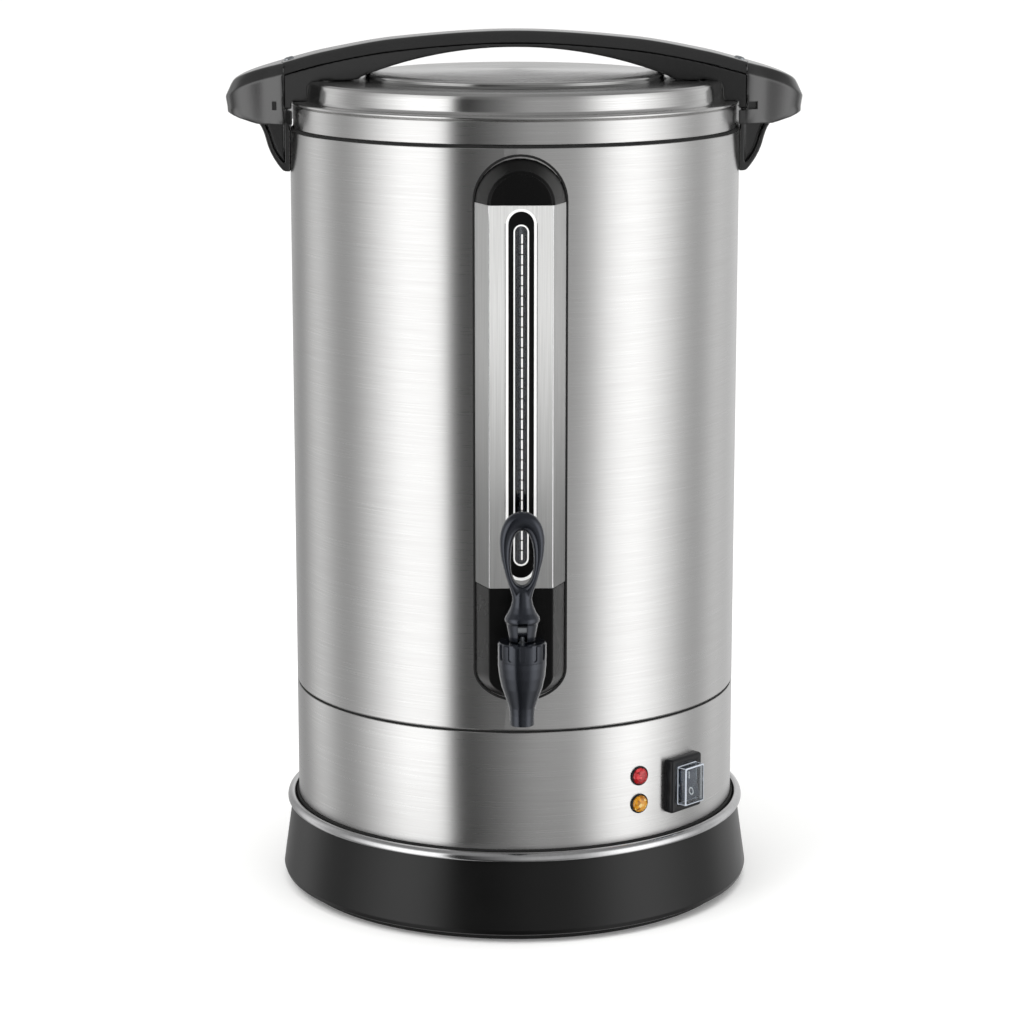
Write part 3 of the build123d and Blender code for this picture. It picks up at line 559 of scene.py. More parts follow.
def addBox(bm, low, high, place=Matrix()):
    # a small box between two corners in millimetres, set down by a matrix
    corners = [(x, y, z) for x in (low[0], high[0]) for y in (low[1], high[1]) for z in (low[2], high[2])]
    verts = addRow(bm, corners, place)
    for face in ((0, 1, 3, 2), (4, 6, 7, 5), (0, 4, 5, 1), (2, 3, 7, 6), (0, 2, 6, 4), (1, 5, 7, 3)):
        bm.faces.new([verts[i] for i in face])


def inputsTree(name, sizes, geometry=False):
    # a Geometry Nodes tree with an input for each of the sizes, named like it, and an Ink for its material
    tree = bpy.data.node_groups.new(name, "GeometryNodeTree")
    if geometry:
        tree.interface.new_socket("Geometry", in_out="INPUT", socket_type="NodeSocketGeometry")
    for label, value in sizes.items():
        kind = "NodeSocket" + {int: "Int", float: "Float", tuple: "Vector"}[type(value)]
        tree.interface.new_socket(label, in_out="INPUT", socket_type=kind).default_value = value
    tree.interface.new_socket("Ink", in_out="INPUT", socket_type="NodeSocketMaterial")
    tree.interface.new_socket("Geometry", in_out="OUTPUT", socket_type="NodeSocketGeometry")
    return tree, addNode(tree, "NodeGroupInput").outputs


def finishTree(tree, given, shape):
    # what every tree ends in: instances made real, then the material
    real = addNode(tree, "GeometryNodeRealizeInstances", links={0: shape})
    inked = addNode(tree, "GeometryNodeSetMaterial", links={"Geometry": real, "Material": given["Ink"]})
    addNode(tree, "NodeGroupOutput", links={0: inked})


def grown(name, tree, sizes, look, mesh=None):
    # runs a Geometry Nodes tree on a mesh and hands over the plain result
    shape = linked(name + "Seed", mesh or bpy.data.meshes.new(name + "Seed"))
    maker = shape.modifiers.new("maker", "NODES")
    maker.node_group = tree
    inputs = {**sizes, "Ink": looks[look]}
    for item in tree.interface.items_tree:
        if item.in_out == "INPUT" and item.name in inputs:
            maker[item.identifier] = inputs[item.name]
    return settled(shape, name)


# lid, rim and rings

# the channel round the crown, between two radii and above a height, is coloured duller and greyer: painted
# shade and dark reflections
lid = {
    "outer": [(0, 471), (45, 470.5), (78, 469.7), (83.4, 469.1), (84.3, 468.5), (84.6, 466.9),
        (85.8, 466.0), (93, 465.8), (101, 465.6), (108, 465.7), (109.4, 466.1), (115.2, 465.4),
        (116.8, 464.5), (117.3, 462.6), (117.9, 456.2), (118.8, 454.6), (125.5, 454.5), (126.3, 453.9),
        (126.2, 452.9), (125.4, 452.8)],
    "inner": [(117.1, 452.8), (117.1, 455.8), (116.5, 462.2), (115.4, 463.8), (109.3, 465.1), (101, 464.8),
        (93, 465.0), (85.2, 465.2), (83.2, 467.6), (78, 468.8), (45, 469.7), (0, 470.2)],
    "channel": (84.4, 115.3, 464.9),
}


def makeLid():
    mesh = lathe("lidSkin", lid["outer"] + lid["inner"], "FineStainlessSteel", corner=0.3)
    mesh.materials.append(looks["ChannelShadeSteel"])
    near, far, above = lid["channel"]
    # the channel's upward faces take the greyer colour, a painted shade
    for face in mesh.polygons:
        r = math.hypot(face.center.x, face.center.y) / mm
        if near < r < far and face.center.z > above * mm and face.normal.z > 0:
            face.material_index = 1
    addPiece("lidSkin", mesh, "lid", "brushed_shell", "lid_pan")


makeLid()

# The edge is what lies further out than inside and higher than above. What is within wall goes out to outer
# and up to lip, and the rest goes up to top.
tankEdge = {"inside": 125.5, "above": 436.5, "wall": 126.5, "outer": 126.8, "top": 437.75, "lip": 438.0}


def makeTankSkin():
    # the tank with its top edge folded sharp, so that it shows no bright band under the rim
    e = tankEdge
    mesh = bareMesh(copied("tank_shell"), "tankSkin")
    for v in mesh.vertices:
        r = math.hypot(v.co.x, v.co.y) / mm
        if r > e["inside"] and v.co.z > e["above"] * mm:
            v.co.z = (e["top"] if r > e["wall"] else e["lip"]) * mm
            if r < e["wall"]:
                v.co.x, v.co.y = v.co.x * e["outer"] / r, v.co.y * e["outer"] / r
    mesh.materials.append(looks["BrushedStainlessSteel"])
    addPiece("tankSkin", smoothed(mesh, 20), "urn", "brushed_shell", "tank_shell")


rimRings = {
    "rimSkin": {"outline": [(124.5, 438.1), (124.5, 439.5), (125.2, 439.7), (125.25, 440.4), (125.2, 441.5),
        (125.2, 451.6), (124, 452.8), (114, 452.8), (114, 444.8), (114.8, 444.8), (114.8, 452.0),
        (123.6, 452.0), (124.4, 451.2), (124.4, 441.2), (123.7, 440), (123.7, 438.1)],
        "look": "BrushedStainlessSteel", "slot": ("brushed_shell", "rim_ring")},
    # a black ring in the joint under the rim, a painted shade that stands in for the dark line of the groove
    "rimShadeRing": {"outline": [(124.55, 438.02), (126.75, 438.03), (126.6, 438.5), (125.5, 439.5),
        (124.55, 439.4)], "look": "NitrileRubber", "slot": ("foot_rubber",), "corner": 0.2},
    # a black ring of the same kind in the joint between tank and base band, a painted shade in the gap
    "seamShadeRing": {"outline": [(125.55, 118.42), (126.25, 118.46), (126.4, 119.0), (126.25, 119.54),
        (125.55, 119.58)], "look": "NitrileRubber", "slot": ("foot_rubber",), "corner": 0.15},
}
baseRings = {
    # a black ring between the base band and the trim ring, a painted shade in the gap there
    "bandShadeRing": {"outline": [(127.03, 46.6), (128.2, 46.6), (128.3, 50.6), (127.9, 51.5), (127.03, 51.7)],
        "look": "NitrileRubber", "slot": ("foot_rubber",), "corner": 0.2},
    # the base band, rolled from one strip
    "bandSkin": {"outline": [(116, 46), (127, 46), (127, 118.1), (126.7, 118.4), (126.2, 118.4),
        (126.2, 46.8), (116, 46.8)], "look": "BrushedStainlessSteel",
        "slot": ("brushed_shell", "base_band"), "corner": 0.12},
    "trimBead": {"outline": [(127.1, 46), (132.7, 46), (133.5, 46.9), (133.6, 48.2), (133.1, 49.7),
        (131.9, 50.9), (130.6, 51.2), (129.3, 50.6), (128.5, 49.1), (128.4, 47), (127.1, 47)],
        "look": "PolishedStainlessSteel", "slot": ("polished_trim", "trim_ring"), "corner": 0.9,
        "steps": 5},
}


def makeRings(rings):
    # rings turned about the urn's axis, from (radius, height) outlines
    for name, ring in rings.items():
        mesh = lathe(name, ring["outline"], ring["look"], corner=ring.get("corner", 0.25),
            steps=ring.get("steps", 3))
        addPiece(name, mesh, "urn", *ring["slot"])


makeRings(rimRings)
makeTankSkin()
makeRings(baseRings)
print("lid, rim and rings made")


# arch and side handles

# the crown is (drop under the top line, inset from the outline), down to the crease over the grip's face; the
# stations along the grip crowd towards its ends
arch = {
    "line": ((0, 493.0), (66.7, 488.8), (107.4, 481.7), (131, 475.5), (148.1, 470.5), (158, 465.9),
        (170, 457)),
    "widths": ((0, 16), (66.7, 17.6), (100, 20.5), (119, 22.5), (134, 24)),
    "crown": ((0, 6.4), (0.12, 5.4), (0.5, 4.5), (1.2, 3.7), (2.2, 2.9), (4.2, 1.45), (5.6, 0.45),
        (6.2, 0.1)),
    "end": 131.0, "deep": 6.5, "edge": 0.3, "stations": 120, "crowd": 0.9,
    "screw": {"x": 127.0, "head": 3.1, "high": 1.3, "slot": 0.9, "reach": 2.1},
}
handleBuild = {"voxel": 0.5, "keep": 0.32, "archPasses": 14, "sidePasses": 8}


def through(points, x):
    # a smooth line through a few points, mirrored about the middle
    line = [(-q[0], q[1]) for q in points[:0:-1]] + list(points)
    x = max(line[0][0], min(line[-1][0], x))
    k = max(i for i in range(len(line) - 1) if line[i][0] <= x)

    def lean(i):
        before, after = line[max(i - 1, 0)], line[min(i + 1, len(line) - 1)]
        return (after[1] - before[1]) / (after[0] - before[0])
    (x0, y0), (x1, y1) = line[k], line[k + 1]
    d = x1 - x0
    t = (x - x0) / d
    return ((2 * t ** 3 - 3 * t ** 2 + 1) * y0 + (t ** 3 - 2 * t ** 2 + t) * d * lean(k)
        + (3 * t ** 2 - 2 * t ** 3) * y1 + (t ** 3 - t ** 2) * d * lean(k + 1))


def makeArchCap():
    # the grip's top moulding: a shallow strip that widens to its ends, with a rounded upper edge
    bm = bmesh.new()
    rows = []
    deep, edge = -arch["deep"], arch["edge"]
    for i in range(arch["stations"] + 1):
        share = -1 + 2 * i / arch["stations"]
        share = math.copysign(abs(share) ** arch["crowd"], share)
        w = through(arch["widths"], share * arch["end"])
        crown = [(w - inset, -drop) for drop, inset in arch["crown"][::-1]]
        profile = crown + [(0.0, 0.0)] + [(-y, drop) for y, drop in crown[::-1]]
        profile += [(-w, deep + edge), (-w + edge, deep), (w - edge, deep), (w, deep + edge)]
        row = []
        for y, drop in profile:
            x = share * math.sqrt(arch["end"] ** 2 - y * y)
            row.append((x, y, through(arch["line"], x) + drop))
        rows.append(addRow(bm, row))
    bridge(bm, rows, "capped")
    addShape(bm, "archCap", "PhenolicHandles", 40, "lid", "handle_plastic", "arch_top")


makeArchCap()


def makeArchScrews():
    # cross-recessed screw heads, let into the cap near its ends
    k = arch["screw"]
    slope = math.atan2(through(arch["line"], k["x"] - 1.5) - through(arch["line"], k["x"] + 1.5), 3)
    sizes = {"Reach": k["x"] * mm, "Slot": k["slot"] * mm, "Length": 2 * k["reach"] * mm,
        "Lift": through(arch["line"], k["x"]) * mm, "Lean": slope}
    tree, given = inputsTree("screwHeads", sizes, geometry=True)
    cross = addNode(tree, "GeometryNodeMeshBoolean", {"operation": "UNION", "solver": "EXACT"})
    for x, y in (("Slot", "Length"), ("Length", "Slot")):
        size = addNode(tree, "ShaderNodeCombineXYZ", {"Z": 0.0016}, {"X": given[x], "Y": given[y]})
        bar = addNode(tree, "GeometryNodeMeshCube", links={"Size": size})
        plug(cross, {1: bar})
    raised = addNode(tree, "GeometryNodeTransform", {"Translation": (0, 0, 0.0013)}, {0: cross})
    cut = addNode(tree, "GeometryNodeMeshBoolean", {"operation": "DIFFERENCE", "solver": "EXACT"},
        {0: given["Geometry"], 1: raised})
    back = addNode(tree, "ShaderNodeMath", {"operation": "MULTIPLY", 1: -2.0}, {0: given["Reach"]})
    start = addNode(tree, "ShaderNodeCombineXYZ", links={"X": given["Reach"], "Z": given["Lift"]})
    step = addNode(tree, "ShaderNodeCombineXYZ", links={"X": back})
    places = addNode(tree, "GeometryNodeMeshLine", {"mode": "OFFSET", "Count": 2},
        {"Start Location": start, "Offset": step})
    spot = addNode(tree, "GeometryNodeInputPosition")
    axes = addNode(tree, "ShaderNodeSeparateXYZ", links={0: spot})
    side = addNode(tree, "ShaderNodeMath", {"operation": "SIGN"}, {0: axes.outputs["X"]})
    lean = addNode(tree, "ShaderNodeMath", {"operation": "MULTIPLY"}, {0: side, 1: given["Lean"]})
    turn = addNode(tree, "ShaderNodeCombineXYZ", links={"Y": lean})
    spread = addNode(tree, "GeometryNodeInstanceOnPoints",
        links={"Points": places, "Instance": cut, "Rotation": turn})
    finishTree(tree, given, spread)
    head = lathe("screwBlank", [(0, -0.6), (k["head"], -0.6), (k["head"], 0.2),
        (k["head"] * 0.8, k["high"] * 0.8), (k["head"] * 0.45, k["high"]), (0, k["high"])],
        "ZincPlatedSteel", segments=48, corner=0.3)
    mesh = grown("archScrewHeads", tree, sizes, "ZincPlatedSteel", head)
    addPiece("archScrewHeads", smoothed(mesh, 35), "lid", "screw_steel")


makeArchScrews()

addPiece("archBody", softened("archBody", bareMesh(copied("arch_base"), "archCopy"), "PhenolicHandles",
    handleBuild["voxel"], handleBuild["archPasses"], keep=handleBuild["keep"]), "lid", "handle_plastic",
    "arch_base")

# outline from above, half of it, from the parting gap to the nose; the bottom line; the foot as (rise, inset)
hood = {
    "outline": [((128.9, 25.4), (133, 24.6), (137, 21.6), (141, 20.2)),
        ((141, 20.2), (149, 17.4), (163, 15.8), (163, 0))],
    "bottom": ((0, 441.6), (131, 441.6), (144.4, 441.6), (154.7, 444.6), (161.8, 447.8), (170, 454)),
    "foot": ((0, 4.2), (0.15, 3.0), (0.7, 1.8), (1.7, 1.0), (3.0, 0.8)), "gap": 131.4,
    "steps": 22, "ledge": 449.6,
    "hollow": ((146.6, 14, 464), (152.5, 11.5, 462), (158.4, 7, 458.5)), "hollowFoot": 430,
    "slot": ((130, -30, 449.9), (135.4, -17, 454.2)), "pocket": ((133.4, 20.6, 449.9), (135.8, 30, 454.6)),
}


def hoodRing(bm, inset, drop, rise):
    # one level of the hood: out along one side, back along the other and across the parting gap
    side = sideLine(hood["outline"], hood["steps"])
    half = []
    for i, q in enumerate(side):
        ahead = (side[min(i + 1, len(side) - 1)] - side[max(i - 1, 0)]).normalized()
        p = q + Vector((ahead.y, -ahead.x)) * inset
        if i == 0:
            p = Vector((math.sqrt(hood["gap"] ** 2 - p.y ** 2), p.y))
        half.append(Vector((p.x, max(0.0, p.y))) if i < len(side) - 1 else Vector((p.x, 0)))
    across = [half[0].y * share for share in (-0.6, -0.2, 0.2, 0.6)]
    plan = half + [Vector((p.x, -p.y)) for p in half[-2::-1]]
    plan += [Vector((math.sqrt(hood["gap"] ** 2 - y * y), y)) for y in across]
    ring = []
    for p in plan:
        z = through(hood["bottom"], p.x) + rise if drop is None else through(arch["line"], p.x) - drop
        ring.append((p.x, p.y, z))
    return addRow(bm, ring), len(half)


def closeRing(bm, ring, count):
    # strips straight across the hood, so that its top and bottom bend one way only
    back = ring[count:2 * count - 1][::-1]
    for i in range(count - 2):
        bm.faces.new((ring[i], ring[i + 1], back[i + 1], back[i]))
    bm.faces.new((ring[count - 2], ring[count - 1], back[count - 2]))
    bm.faces.new([back[0]] + ring[2 * count - 1:] + [ring[0]])


def sideMesh(bm, name, side):
    # the shape turned to its side of the urn, with its faces turned out
    bmesh.ops.transform(bm, matrix=Matrix.Rotation(0 if side > 0 else math.pi, 4, "Z"), verts=bm.verts)
    bmesh.ops.recalc_face_normals(bm, faces=bm.faces)
    return bareMesh(bm, name)


def makeSideHandle(name, node, side):
    bm = bmesh.new()
    levels = [hoodRing(bm, inset, None, rise) for rise, inset in hood["foot"]]
    levels += [hoodRing(bm, inset, drop, 0) for drop, inset in [(arch["deep"], 0.0)]
        + list(arch["crown"][::-1])]
    bridge(bm, [ring for ring, count in levels], "open")
    closeRing(bm, *levels[0])
    closeRing(bm, *levels[-1])
    knife = bmesh.new()
    low = hood["hollowFoot"]
    bridge(knife, [addRow(knife, ((x, -half, low), (x, half, low), (x, half, roof), (x, -half, roof)))
        for x, half, roof in hood["hollow"]], "capped")
    addBox(knife, *hood["slot"])
    addBox(knife, *hood["pocket"])
    whole = copied(node)   # the bracket and the ledge that the lid turns on, up to the ledge
    sliced = bmesh.ops.bisect_plane(whole, geom=whole.verts[:] + whole.edges[:] + whole.faces[:],
        plane_co=(0, 0, hood["ledge"] * mm), plane_no=(0, 0, 1), clear_outer=True)
    bmesh.ops.holes_fill(whole, edges=[e for e in sliced["geom_cut"] if isinstance(e, bmesh.types.BMEdge)])
    whole.from_mesh(sideMesh(bm, name + "Hood", side))
    done = softened(name, bareMesh(whole, name + "Whole"), "PhenolicHandles", handleBuild["voxel"],
        handleBuild["sidePasses"], sideMesh(knife, name + "Hollow", side), handleBuild["keep"])
    addPiece(name, smoothed(done, 50), "urn", "handle_plastic", node)


makeSideHandle("sideHandleLeft", "side_handle_left", -1)
makeSideHandle("sideHandleRight", "side_handle_right", 1)
print("handles made")


# sight gauge

marks = {
    "first": 221.5, "pitch": 5.5, "count": 32, "y": -141.78, "thick": 0.1,
    "levelDashes": {"wide": 0.9, "tall": 4.9, "x": 0.45},
    "levelTicks": {"wide": 2.3, "tall": 0.6, "x": 0.1},
}


def makeMarks():
    # the scale printed on the gauge glass: upright white dashes, with a black tick in each gap between them
    sizes = {"Count": marks["count"], "Pitch": marks["pitch"] * mm, "Start": (0.0, 0.0, 0.0),
        "Mark": (mm, mm, mm)}
    tree, given = inputsTree("levelMarks", sizes)
    step = addNode(tree, "ShaderNodeCombineXYZ", links={"Z": given["Pitch"]})
    line = addNode(tree, "GeometryNodeMeshLine", {"mode": "OFFSET"},
        {"Count": given["Count"], "Start Location": given["Start"], "Offset": step})
    mark = addNode(tree, "GeometryNodeMeshCube", links={"Size": given["Mark"]})
    spread = addNode(tree, "GeometryNodeInstanceOnPoints", links={"Points": line, "Instance": mark})
    finishTree(tree, given, spread)
    for name, less, up, look, slot in (
            ("levelDashes", 0, 0, "AbsWhiteFrame", "white_print"),
            ("levelTicks", 1, marks["pitch"] / 2, "NylonSwitch", "gauge_plastic")):
        size, count, z = marks[name], marks["count"] - less, marks["first"] + up
        sizes |= {"Count": count, "Start": (size["x"] * mm, marks["y"] * mm, z * mm),
            "Mark": (size["wide"] * mm, marks["thick"] * mm, size["tall"] * mm)}
        addPiece(name, grown(name, tree, sizes, look), "urn", slot)


makeMarks()

window = {"half": 3.27, "low": 219.85, "high": 395.55, "front": -141.7, "back": -141.1, "edge": 0.12,
    "steps": 16}


def makeWindow():
    # the clear strip let into the frame, which carries the scale and keeps the glass tube clean
    bm = bmesh.new()
    rows = []
    ends = [(a, z) for start, z in ((0, window["high"]), (math.pi, window["low"]))
        for a in halfTurn(start, window["steps"])]
    edge, front = window["edge"], window["front"]
    for inset, y in ((0.0, window["back"]), (0.0, front + edge), (edge, front)):
        r = window["half"] - inset
        rows.append(addRow(bm, [(r * math.cos(a), y, z + r * math.sin(a)) for a, z in ends]))
    bridge(bm, rows, "capped")
    addShape(bm, "gaugeWindow", "ClearAcrylic", 38, "urn", "gauge_glass")


makeWindow()

# its section is (distance out from the plate's outline, radius); the outline has a round top and an oval foot
shadowStrip = {
    "section": ((-0.2, 126.8), (1.0, 126.8), (1.0, 127.4), (0.7, 127.7), (-0.2, 127.7)), "half": 24.5,
    "capZ": 409.5, "straightLow": 154.4, "drop": 17.0, "steps": 24,
}


def makeShadowStrip():
    # a black strip right round the outline of the whole gauge and tap plate: a painted shadow along their
    # edges
    half = shadowStrip["half"]
    path = []
    for start, z, tall in ((0, shadowStrip["capZ"], half), (math.pi, shadowStrip["straightLow"], shadowStrip["drop"])):
        for a in halfTurn(start, shadowStrip["steps"]):
            c, s = math.cos(a), math.sin(a)
            path.append((half * c, z + tall * s, Vector((c * tall, s * half)).normalized()))
    bm = bmesh.new()
    rows = []
    for x, z, out in path:
        row = []
        for side, r in shadowStrip["section"]:
            px, pz = x + out.x * side, z + out.y * side
            row.append((px, -math.sqrt(r * r - px * px), pz))
        rows.append(addRow(bm, row))
    bridge(bm, rows)
    addShape(bm, "gaugeShadowStrip", "NitrileRubber", 38, "urn", "foot_rubber")


makeShadowStrip()
for node, name, voxel in (("gauge_top_cap", "gaugeCap", 0.4), ("tap_escutcheon", "tapPlate", 0.45)):
    addPiece(name, softened(name, bareMesh(copied(node), name + "Copy"), "AbsGaugeHousing", voxel, 4),
        "urn", "gauge_plastic", node)

# a fold is an edge that is longer, further forward and more upright than this, where its faces turn by an
# angle between two
cover = {"longer": 20, "inFrontOf": -120, "upright": 0.9, "between": (0.2, 2.3), "foldWidth": 0.4,
    "sideTurn": 0.2}


def makeCover():
    # the pressed cover: a broad front, two folded sides in a greyer colour that paints their shade, and a
    # bright line along each fold
    bm = copied("gauge_cover")
    least, most = cover["between"]
    folds = [e for e in bm.edges if len(e.link_faces) == 2 and e.calc_length() > cover["longer"] * mm
        and abs(e.verts[0].co.z - e.verts[1].co.z) > cover["upright"] * e.calc_length()
        and least < e.calc_face_angle(0) < most and e.verts[0].co.y < cover["inFrontOf"] * mm]
    bmesh.ops.bevel(bm, geom=folds, offset=cover["foldWidth"] * mm, segments=2, profile=0.5, affect="EDGES",
        material=2)
    for face in bm.faces:
        if face.material_index != 2:
            face.material_index = 1 if abs(face.normal.x) > cover["sideTurn"] else 0
    mesh = bareMesh(bm, "coverSkin")
    for look in ("SatinStainlessSteel", "FoldedStainlessSteel", "PolishedStainlessSteel"):
        mesh.materials.append(looks[look])
    addPiece("coverSkin", smoothed(mesh, 14), "urn", "satin_cover", "gauge_cover")


makeCover()
print("sight gauge made")


# tap

lever = {
    "outer": [((0, 250.6), (7.2, 250.6), (12.1, 243.4), (12.1, 234.6)),
        ((12.1, 234.6), (12.1, 226.6), (10.8, 222.8), (9.7, 218.5)),
        ((9.7, 218.5), (8.3, 212.6), (6.4, 209), (5.2, 203))],
    "inner": [((0, 240.2), (3.3, 240.2), (5.5, 235.0), (5.85, 228)),
        ((5.85, 228), (6.05, 224), (6.0, 221), (5.4, 217.6)),
        ((5.4, 217.6), (4.8, 214), (3.0, 210.6), (0, 210.6))],
    "thick": 4.3, "steps": 14, "sides": 24, "voxel": 0.35, "passes": 8,
    "slot": ((-2.5, -185, 170), (2.5, -145, 191.6)),
    "neck": [(0, 180.2), (6.8, 180.2), (7.6, 184.6), (8.6, 190.3), (9.5, 191.4), (9.4, 193.2), (7.5, 196.2),
        (6.0, 199.6), (5.3, 203), (4.9, 207.4), (3.4, 209.4), (0, 209.8)],
}


def makeLever():
    # a round-sectioned loop between two outlines, on a turned neck that is slotted for the stem
    bm = bmesh.new()
    pairs = list(zip(sideLine(lever["outer"], lever["steps"]), sideLine(lever["inner"], lever["steps"])))
    pairs += [(Vector((-o.x, o.y)), Vector((-i.x, i.y))) for o, i in pairs[-1:0:-1]]
    rows = []
    for o, i in pairs:
        ring = [((o + i) / 2 + (o - i) / 2 * math.cos(a), tapAxis[1] + lever["thick"] * math.sin(a))
            for a in spun(lever["sides"])]
        rows.append(addRow(bm, [(q.x, y, q.y) for q, y in ring]))
    bridge(bm, rows)
    bmesh.ops.recalc_face_normals(bm, faces=bm.faces)
    bm.from_mesh(lathe("leverNeck", lever["neck"], "NylonTap", segments=72, centre=tapAxis, corner=0.5))
    knife = bmesh.new()
    addBox(knife, *lever["slot"])
    bmesh.ops.recalc_face_normals(knife, faces=knife.faces)
    done = softened("tapLever", bareMesh(bm, "leverWhole"), "NylonTap", lever["voxel"], lever["passes"],
        bareMesh(knife, "leverSlot"))
    addPiece("tapLever", smoothed(done, 50), "lever", "tap_plastic", "tap_lever")


makeLever()

bonnet = {
    "outline": [(8.0, 170), (13.05, 170), (13.05, 179.1), (12.2, 180), (2.58, 180), (2.58, 176.5),
        (8.0, 176.5)],
    "radius": 13.05, "flutes": 12, "width": 2.9, "deep": 0.75, "foot": 172.6, "tall": 12,
}


def makeBonnet():
    # the knurled collar: a turned ring with round-footed flutes cut round it
    sizes = {"Flutes": bonnet["flutes"], "Radius": bonnet["radius"] * mm, "Width": bonnet["width"] * mm,
        "Deep": 2 * bonnet["deep"] * mm, "Tall": bonnet["tall"] * mm,
        "Centre": (tapAxis[0] * mm, tapAxis[1] * mm, bonnet["foot"] * mm)}
    tree, given = inputsTree("collarFlutes", sizes, geometry=True)
    circle = addNode(tree, "GeometryNodeMeshCircle",
        links={"Vertices": given["Flutes"], "Radius": given["Radius"]})
    half = addNode(tree, "ShaderNodeMath", {"operation": "MULTIPLY", 1: 0.5}, {0: given["Width"]})
    foot = addNode(tree, "GeometryNodeMeshCylinder", {"Vertices": 24},
        {"Radius": half, "Depth": given["Deep"]})
    lying = addNode(tree, "GeometryNodeTransform", {"Rotation": (0, math.pi / 2, 0)}, {0: foot})
    size = addNode(tree, "ShaderNodeCombineXYZ", links={"X": given["Deep"], "Y": given["Width"],
        "Z": given["Tall"]})
    slot = addNode(tree, "GeometryNodeMeshCube", links={"Size": size})
    rise = addNode(tree, "ShaderNodeMath", {"operation": "MULTIPLY", 1: 0.5}, {0: given["Tall"]})
    lift = addNode(tree, "ShaderNodeCombineXYZ", links={"Z": rise})
    up = addNode(tree, "GeometryNodeTransform", links={0: slot, "Translation": lift})
    cutter = addNode(tree, "GeometryNodeMeshBoolean", {"operation": "UNION", "solver": "EXACT"})
    plug(cutter, {1: lying})
    plug(cutter, {1: up})
    place = addNode(tree, "GeometryNodeInputPosition")
    turn = addNode(tree, "FunctionNodeAlignEulerToVector", {"axis": "X", "pivot_axis": "Z"},
        {"Vector": place})
    spread = addNode(tree, "GeometryNodeInstanceOnPoints",
        links={"Points": circle, "Instance": cutter, "Rotation": turn})
    real = addNode(tree, "GeometryNodeRealizeInstances", links={0: spread})
    moved = addNode(tree, "GeometryNodeTransform", links={0: real, "Translation": given["Centre"]})
    cut = addNode(tree, "GeometryNodeMeshBoolean", {"operation": "DIFFERENCE", "solver": "EXACT"},
        {0: given["Geometry"], 1: moved})
    finishTree(tree, given, cut)
    blank = lathe("bonnetBlank", bonnet["outline"], "NylonTap", segments=144, centre=tapAxis, corner=0.3)
    done = grown("tapBonnet", tree, sizes, "NylonTap", blank)
    addPiece("tapBonnet", smoothed(done, 30), "urn", "tap_plastic", "tap_bonnet")


makeBonnet()

spring = {"turns": 4.5, "radius": 4.6, "wire": 0.45, "travel": 4.8, "room": 0.1}


def makeSpring():
    # the spring that shuts the valve, coiled from one wire at one fixed length
    low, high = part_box("valve_spring")
    foot, top = low[2] + spring["wire"] * mm, high[2] - spring["wire"] * mm
    sizes = {"Turns": spring["turns"], "Radius": spring["radius"] * mm, "Height": top - foot,
        "Wire": spring["wire"] * mm, "Foot": ((low[0] + high[0]) / 2, (low[1] + high[1]) / 2, foot)}
    tree, given = inputsTree("coil", sizes)
    line = addNode(tree, "GeometryNodeCurveSpiral", {"Resolution": 40},
        {"Rotations": given["Turns"], "Start Radius": given["Radius"], "End Radius": given["Radius"],
        "Height": given["Height"]})
    section = addNode(tree, "GeometryNodeCurvePrimitiveCircle", {"Resolution": 12}, {"Radius": given["Wire"]})
    wire = addNode(tree, "GeometryNodeCurveToMesh", {"Fill Caps": True},
        {"Curve": line, "Profile Curve": section})
    moved = addNode(tree, "GeometryNodeTransform", links={0: wire, "Translation": given["Foot"]})
    finishTree(tree, given, moved)
    mesh = grown("valveSpring", tree, sizes, "ZincPlatedSteel")
    mesh.shade_smooth()
    piece = addPiece("valveSpring", mesh, "urn", "plain_steel", "valve_spring")
    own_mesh(piece)


makeSpring()
print("tap made")


# lamps and switch

# a lens is rings of cut facets, and its bezel is turned, both as (radius, height off the body)
lamps = {
    "angle": 31.7, "sides": 12, "crown": 3.3, "round": 64,
    "lenses": (("heatingLens", 88.0, "RedAcrylic", "red_lens", "heating_lens"),
        ("warmLens", 72.0, "AmberAcrylic", "amber_lens", "warm_lens")),
    "rings": ((4.85, 0.02), (4.85, 1.1), (4.4, 2.0), (3.3, 2.75), (1.8, 3.15)),
    "bezel": ((4.9, 0.02), (5.6, 0.02), (5.6, 0.5), (5.45, 0.95), (5.1, 1.1), (4.9, 0.95)),
}


def makeLamps():
    bezels = bmesh.new()
    sides = lamps["sides"]
    for name, z, look, slot, node in lamps["lenses"]:
        place = faceFrame(lamps["angle"], bodyRadius, z)
        bm = bmesh.new()
        rows = []
        for k, (r, rise) in enumerate(lamps["rings"]):
            step = 0.5 * max(0, k - 1)   # the cut facets stand half a step on from ring to ring
            turns = [2 * math.pi * (i + step) / sides for i in range(sides)]
            rows.append(addRow(bm, [(r * math.cos(a), r * math.sin(a), rise) for a in turns], place))
        bridge(bm, rows[:2], "open")
        for row, after in zip(rows[1:], rows[2:]):
            for i in range(sides):
                j = (i + 1) % sides
                bm.faces.new((row[i], row[j], after[i]))
                bm.faces.new((row[j], after[j], after[i]))
        top = addRow(bm, [(0, 0, lamps["crown"])], place)[0]
        for i in range(sides):
            bm.faces.new((rows[-1][i], rows[-1][(i + 1) % sides], top))
        bm.faces.new(rows[0][::-1])
        addShape(bm, name, look, 2, "urn", slot, node)
        outline = roundCorners(lamps["bezel"], 0.2)
        bridge(bezels,
            [addRow(bezels, [(q.x * math.cos(a), q.x * math.sin(a), q.y) for q in outline], place)
            for a in spun(lamps["round"])])
    addShape(bezels, "lampBezels", "NylonSwitch", 38, "urn", "switch_plastic", "lamp_bezels")


makeLamps()

